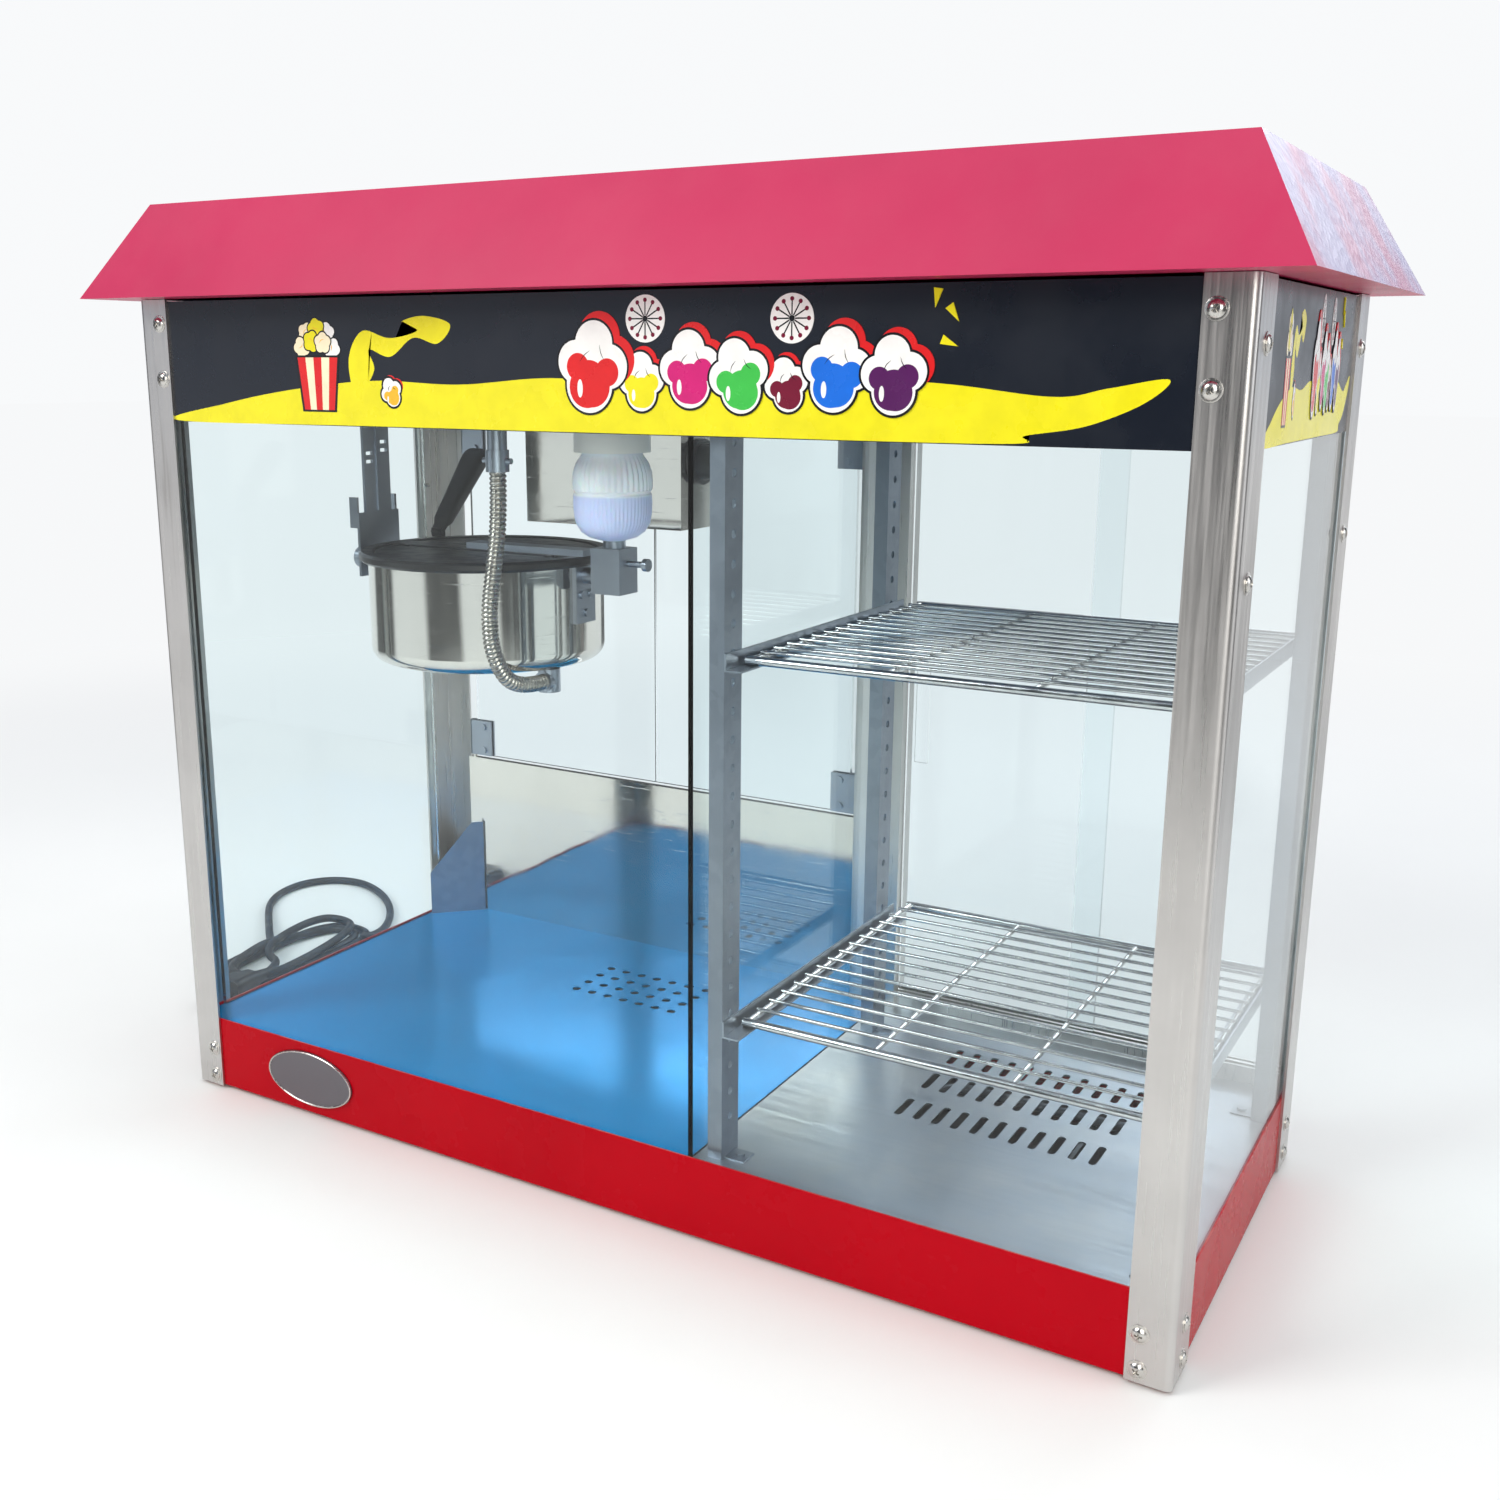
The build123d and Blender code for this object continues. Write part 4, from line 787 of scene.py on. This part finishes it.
def grip_section(width, thickness, height):
    """A rounded oblong ring across the grip."""
    ring = []
    for i in range(GRIP_STEPS):
        turn = 2 * math.pi * i / GRIP_STEPS
        across = math.cos(turn)
        aside = math.sin(turn)
        x = math.copysign(abs(across) ** GRIP_SQUARENESS, across) * width / 2
        y = math.copysign(abs(aside) ** GRIP_SQUARENESS, aside) * thickness / 2
        ring.append(Vector((x * MM, y * MM, height * MM)))
    return ring


def handle_grip():
    """The moulded grip and the lug at its foot."""
    bm = bmesh.new()
    stance = placed(GRIP_FOOT, GRIP_ALONG)
    rings = []
    for section in GRIP_SECTIONS:
        rings.append([bm.verts.new(stance @ point) for point in grip_section(*section)])
    loft(bm, rings)
    sides = []
    for x in (-LUG_HALF, LUG_HALF):
        side = []
        for y, z in LUG:
            at_y = (y + LUG_CORNER[0]) * MM
            at_z = (z + LUG_CORNER[1]) * MM
            side.append(bm.verts.new((GRIP_FOOT.x + x, at_y, at_z)))
        sides.append(side)
    loft(bm, sides)
    finish_mesh("handle_grip", bm, "black_plastic", "kettle", replaces=("kettle_handle",))


handle_grip()

# ---- Conduit ----

CONDUIT_R = 0.0065
RIB_DEPTH = 0.0012
RIB_PITCH = 0.0036
RIB_STEPS = 6
CONDUIT_SIDES = 20


def ribbed_tube(bm, line):
    """A tube along a line with one spiral rib, as a wound metal hose has."""
    lengths = [0.0]
    for before, after in zip(line, line[1:]):
        lengths.append(lengths[-1] + (after - before).length)
    count = int(lengths[-1] / (RIB_PITCH / RIB_STEPS))
    across = Vector((1, 0, 0))
    rings = []
    k = 0
    for i in range(count + 1):
        reach = lengths[-1] * i / count
        while k < len(line) - 2 and lengths[k + 1] < reach:
            k += 1
        share = (reach - lengths[k]) / (lengths[k + 1] - lengths[k])
        middle = line[k].lerp(line[k + 1], share)
        along = (line[min(k + 2, len(line) - 1)] - line[max(k - 1, 0)]).normalized()
        across = (across - along * across.dot(along)).normalized()
        aside = along.cross(across)
        ring = []
        for j in range(CONDUIT_SIDES):
            turn = 2 * math.pi * j / CONDUIT_SIDES
            rib = 0.5 + 0.5 * math.cos(turn - 2 * math.pi * reach / RIB_PITCH)
            size = CONDUIT_R - RIB_DEPTH * (1 - rib) ** 2
            out = across * math.cos(turn) + aside * math.sin(turn)
            ring.append(bm.verts.new(middle + out * size))
        rings.append(ring)
    loft(bm, rings)


conduit_route = [
    (-0.122, -0.120, 0.545),
    (-0.122, -0.120, 0.509),
    (-0.128, -0.121, 0.471),
    (-0.134, -0.121, 0.434),
    (-0.134, -0.116, 0.400),
    (-0.130, -0.096, 0.374),
    (-0.130, -0.059, 0.374),
]
bm = bmesh.new()
ribbed_tube(bm, centreline("conduit_line", conduit_route))
conduit = finish_mesh("armoured_conduit", bm, "conduit_steel", replaces=("kettle_conduit",))
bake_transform(conduit)

# ---- Printed art on the fascias ----

INKS = {
    "outline": linear(0.05, 0.05, 0.07),
    "yellow": linear(0.92, 0.88, 0.10),
    "gold": linear(0.95, 0.72, 0.18),
    "white": linear(0.95, 0.95, 0.94),
    "cream": linear(0.97, 0.92, 0.78),
    "red": linear(0.85, 0.12, 0.13),
    "magenta": linear(0.80, 0.10, 0.45),
    "green": linear(0.25, 0.75, 0.30),
    "maroon": linear(0.45, 0.05, 0.18),
    "blue": linear(0.08, 0.42, 0.85),
    "purple": linear(0.33, 0.10, 0.35),
}
ink_names = list(INKS)
inks = []
for name, colour in INKS.items():
    shader = Shader("ink_" + name, colour, 0.25)
    shader.mottle(60.0, 0.94, 1.03)
    shader.rough(24.0, 0.2, 0.32, detail=6.0)
    shader.bump(shader.noise(330.0, detail=2.0), 0.00002)
    shader.dust(0.3)
    inks.append(shader.material)


def blob(x, z, width, height, lobes, depth, phase=0.0, steps=72):
    """A rounded outline with puffed lobes, in millimetres across a fascia."""
    points = []
    for i in range(steps):
        turn = 2 * math.pi * i / steps
        puff = 1 - depth * (1 - abs(math.cos(lobes * (turn + phase) / 2)))
        points.append((x + width * puff * math.cos(turn), z + height * puff * math.sin(turn)))
    return points


def flow(points, steps=10):
    """A smooth closed outline through a few points."""
    curve = []
    count = len(points)
    for i in range(count):
        a, b, c, d = (Vector(points[(i + k - 1) % count]) for k in range(4))
        for j in range(steps):
            t = j / steps
            curve.append(
                0.5 * (2 * b + (c - a) * t + (2 * a - 5 * b + 4 * c - d) * t * t
                       + (3 * b - a - 3 * c + d) * t**3)
            )
    return [(point.x, point.y) for point in curve]


def circle(x, z, radius, steps=48):
    return blob(x, z, radius, radius, 1, 0.0, 0.0, steps)


def stroke(x, z, length, width, lean):
    """A short pen stroke, pointed at both ends."""
    way = Vector((math.cos(lean), math.sin(lean))) * length / 2
    side = Vector((-way.y, way.x)).normalized() * width / 2
    middle = Vector((x, z)) + side
    corners = (middle - way - side, middle + side, middle + way - side, middle)
    return flow([tuple(corner) for corner in corners])


def kernel(x, z, size, ink, lean):
    """A popped kernel: a coloured husk under white puffs, with an outline and a red shade."""
    lobes = [(-0.5, 0.05, 0.52), (0.48, 0.12, 0.54), (-0.05, 0.58, 0.55), (0.0, -0.42, 0.68)]
    spots = []
    for dx, dz, reach in lobes:
        turned_x = dx * math.cos(lean) - dz * math.sin(lean)
        turned_z = dx * math.sin(lean) + dz * math.cos(lean)
        spots.append((x + size * turned_x, z + size * turned_z, size * reach))
    shapes = []
    for at_x, at_z, reach in spots[1:3]:
        shapes.append(("red", circle(at_x + size * 0.16, at_z + size * 0.16, reach * 1.1)))
    for at_x, at_z, reach in spots:
        shapes.append(("outline", circle(at_x, at_z, reach + 1.5)))
    for at_x, at_z, reach in spots:
        shapes.append(("white", circle(at_x, at_z, reach)))
    foot_x, foot_z, foot_reach = spots[3]
    shapes.append((ink, blob(foot_x, foot_z, foot_reach * 0.9, foot_reach * 0.88, 3, 0.08, lean + 0.6)))
    shapes.append((ink, circle(spots[0][0] + size * 0.06, spots[0][1] - size * 0.12, size * 0.33)))
    shapes.append((ink, circle(spots[1][0] - size * 0.05, spots[1][1] - size * 0.14, size * 0.34)))
    shapes.append(("white", blob(x - size * 0.36, z - size * 0.5, size * 0.08, size * 0.22, 1, 0.0)))
    for at_x, at_z, turn in ((-0.2, 0.28, 0.9), (0.3, 0.36, 2.1)):
        shapes.append(("outline", stroke(x + size * at_x, z + size * at_z, size * 0.4, 1.1, turn + lean)))
    return shapes


def dotted_disc(x, z, size):
    """A white disc with a ring of red dots on spokes."""
    shapes = [("white", circle(x, z, size))]
    for k in range(12):
        turn = 2 * math.pi * k / 12
        way = Vector((math.cos(turn), math.sin(turn)))
        side = Vector((-way.y, way.x)) * size * 0.03
        middle = Vector((x, z))
        spoke = [middle + way * size * 0.14 + side, middle + way * size * 0.72 + side]
        spoke += [middle + way * size * 0.72 - side, middle + way * size * 0.14 - side]
        shapes.append(("outline", [tuple(point) for point in spoke]))
        dot = middle + way * size * 0.78
        shapes.append(("maroon", circle(dot.x, dot.y, size * 0.095, 16)))
    shapes.append(("outline", circle(x, z, size * 0.13, 20)))
    return shapes


def carton(x, z):
    """A plain striped carton heaped with popcorn."""
    shapes = []
    puffs = ((-10, 30), (10, 30), (0, 33), (-15, 20), (15, 19), (-5, 24), (6, 23))
    for k, (dx, dz) in enumerate(puffs):
        ink = ("cream", "white", "yellow")[k % 3]
        shapes.append(("outline", blob(x + dx, z + dz, 9.2, 8.8, 5, 0.16, k)))
        shapes.append((ink, blob(x + dx, z + dz, 8.1, 7.7, 5, 0.18, k)))
        shapes.append(("gold", stroke(x + dx - 1, z + dz + 1, 6, 1.2, 0.8 + k)))
    shapes.append(("outline", [(x - 17, z - 27), (x + 17, z - 27), (x + 22, z + 14), (x - 22, z + 14)]))
    for k, ink in enumerate(("red", "cream", "red", "cream", "red")):
        low = x - 15 + k * 6
        high = x - 20 + k * 8
        shapes.append((ink, [(low, z - 25.5), (low + 6, z - 25.5), (high + 8, z + 12.5), (high, z + 12.5)]))
    return shapes


def fascia_picture():
    """Every shape of the print, from the lowest to the topmost: its ink and its outline."""
    wave = [(-397, 579.0), (-340, 593), (-270, 604), (-190, 611), (-110, 609), (-30, 614), (60, 610)]
    wave += [(160, 616), (250, 613), (320, 606), (352, 611), (385, 616), (372, 603), (340, 590)]
    wave += [(305, 584), (290, 579.0), (100, 578.6), (-200, 578.6)]
    plume = [(-206, 600), (-188, 618), (-192, 633), (-172, 628), (-150, 641), (-128, 637), (-116, 650)]
    plume += [(-140, 656), (-160, 652), (-146, 646), (-172, 641), (-198, 646), (-212, 626)]
    shapes = [("yellow", flow(wave)), ("yellow", flow(plume))]
    shapes += carton(-243, 615)
    shapes += kernel(-172, 603, 9.5, "gold", 0.4)
    for x, z in ((46, 652), (153, 651)):
        shapes += dotted_disc(x, z, 15)
    row = (("yellow", 43, 612, 17), ("maroon", 150, 611, 15), ("red", 4, 621, 27), ("magenta", 80, 620, 22))
    row += (("green", 116, 616, 21), ("blue", 184, 620, 23), ("purple", 222, 617, 21))
    for k, (ink, x, z, size) in enumerate(row):
        shapes += kernel(x, z, size, ink, 0.22 * math.sin(2.1 * k))
    for x, z, lean in ((247, 656, 0.15), (262, 648, -0.6), (262, 634, -1.2)):
        way = Vector((math.sin(lean), math.cos(lean))) * -11
        side = Vector((way.y, -way.x)) * 0.26
        tip = Vector((x, z))
        end = tip - way
        shapes.append(("yellow", [tuple(tip), tuple(end + side), tuple(end - side)]))
    return shapes


# How far the lowest film stands off its fascia, and how much each one adds.
FILM_LIFT = 0.00005
FILM_STEP = 0.000004


def printed(name, place, stretch):
    """The print on one fascia, each shape a film laid a few microns over the last."""
    bm = bmesh.new()
    for layer, (ink, outline) in enumerate(fascia_picture()):
        sheets = []
        for lift in (FILM_LIFT + FILM_STEP * layer, -FILM_LIFT):
            places = [Vector((x * MM * stretch, z * MM, lift)) for x, z in outline]
            sheets.append([bm.verts.new(place @ point) for point in places])
        front, back = sheets
        faces = [bm.faces.new(front), bm.faces.new(back)]
        for k in range(len(outline)):
            j = (k + 1) % len(outline)
            faces.append(bm.faces.new((front[k], front[j], back[j], back[k])))
        for face in faces:
            face.material_index = ink_names.index(ink)
    bmesh.ops.triangulate(bm, faces=[face for face in bm.faces if len(face.verts) > 4])
    bmesh.ops.recalc_face_normals(bm, faces=bm.faces)
    mesh = bpy.data.meshes.new(name)
    bm.to_mesh(mesh)
    bm.free()
    for ink in inks:
        mesh.materials.append(ink)
    piece = bpy.data.objects.new(name, mesh)
    bpy.context.scene.collection.objects.link(piece)
    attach(piece, "machine")


def face_frame(across, outward, distance):
    """A matrix whose X runs across a fascia, Y goes up and Z looks out of it."""
    across = Vector(across)
    outward = Vector(outward)
    rotation = Matrix((across, Vector((0, 0, 1)), outward)).transposed().to_4x4()
    return Matrix.Translation(outward * distance) @ rotation


front_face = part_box("fascia_front")[0].y
side_low, side_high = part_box("side_fascias")
SIDE_STRETCH = 0.345
printed("print_front", face_frame((1, 0, 0), (0, -1, 0), -front_face), 1.0)
printed("print_right", face_frame((0, 1, 0), (1, 0, 0), side_high.x), SIDE_STRETCH)
printed("print_left", face_frame((0, -1, 0), (-1, 0, 0), -side_low.x), SIDE_STRETCH)
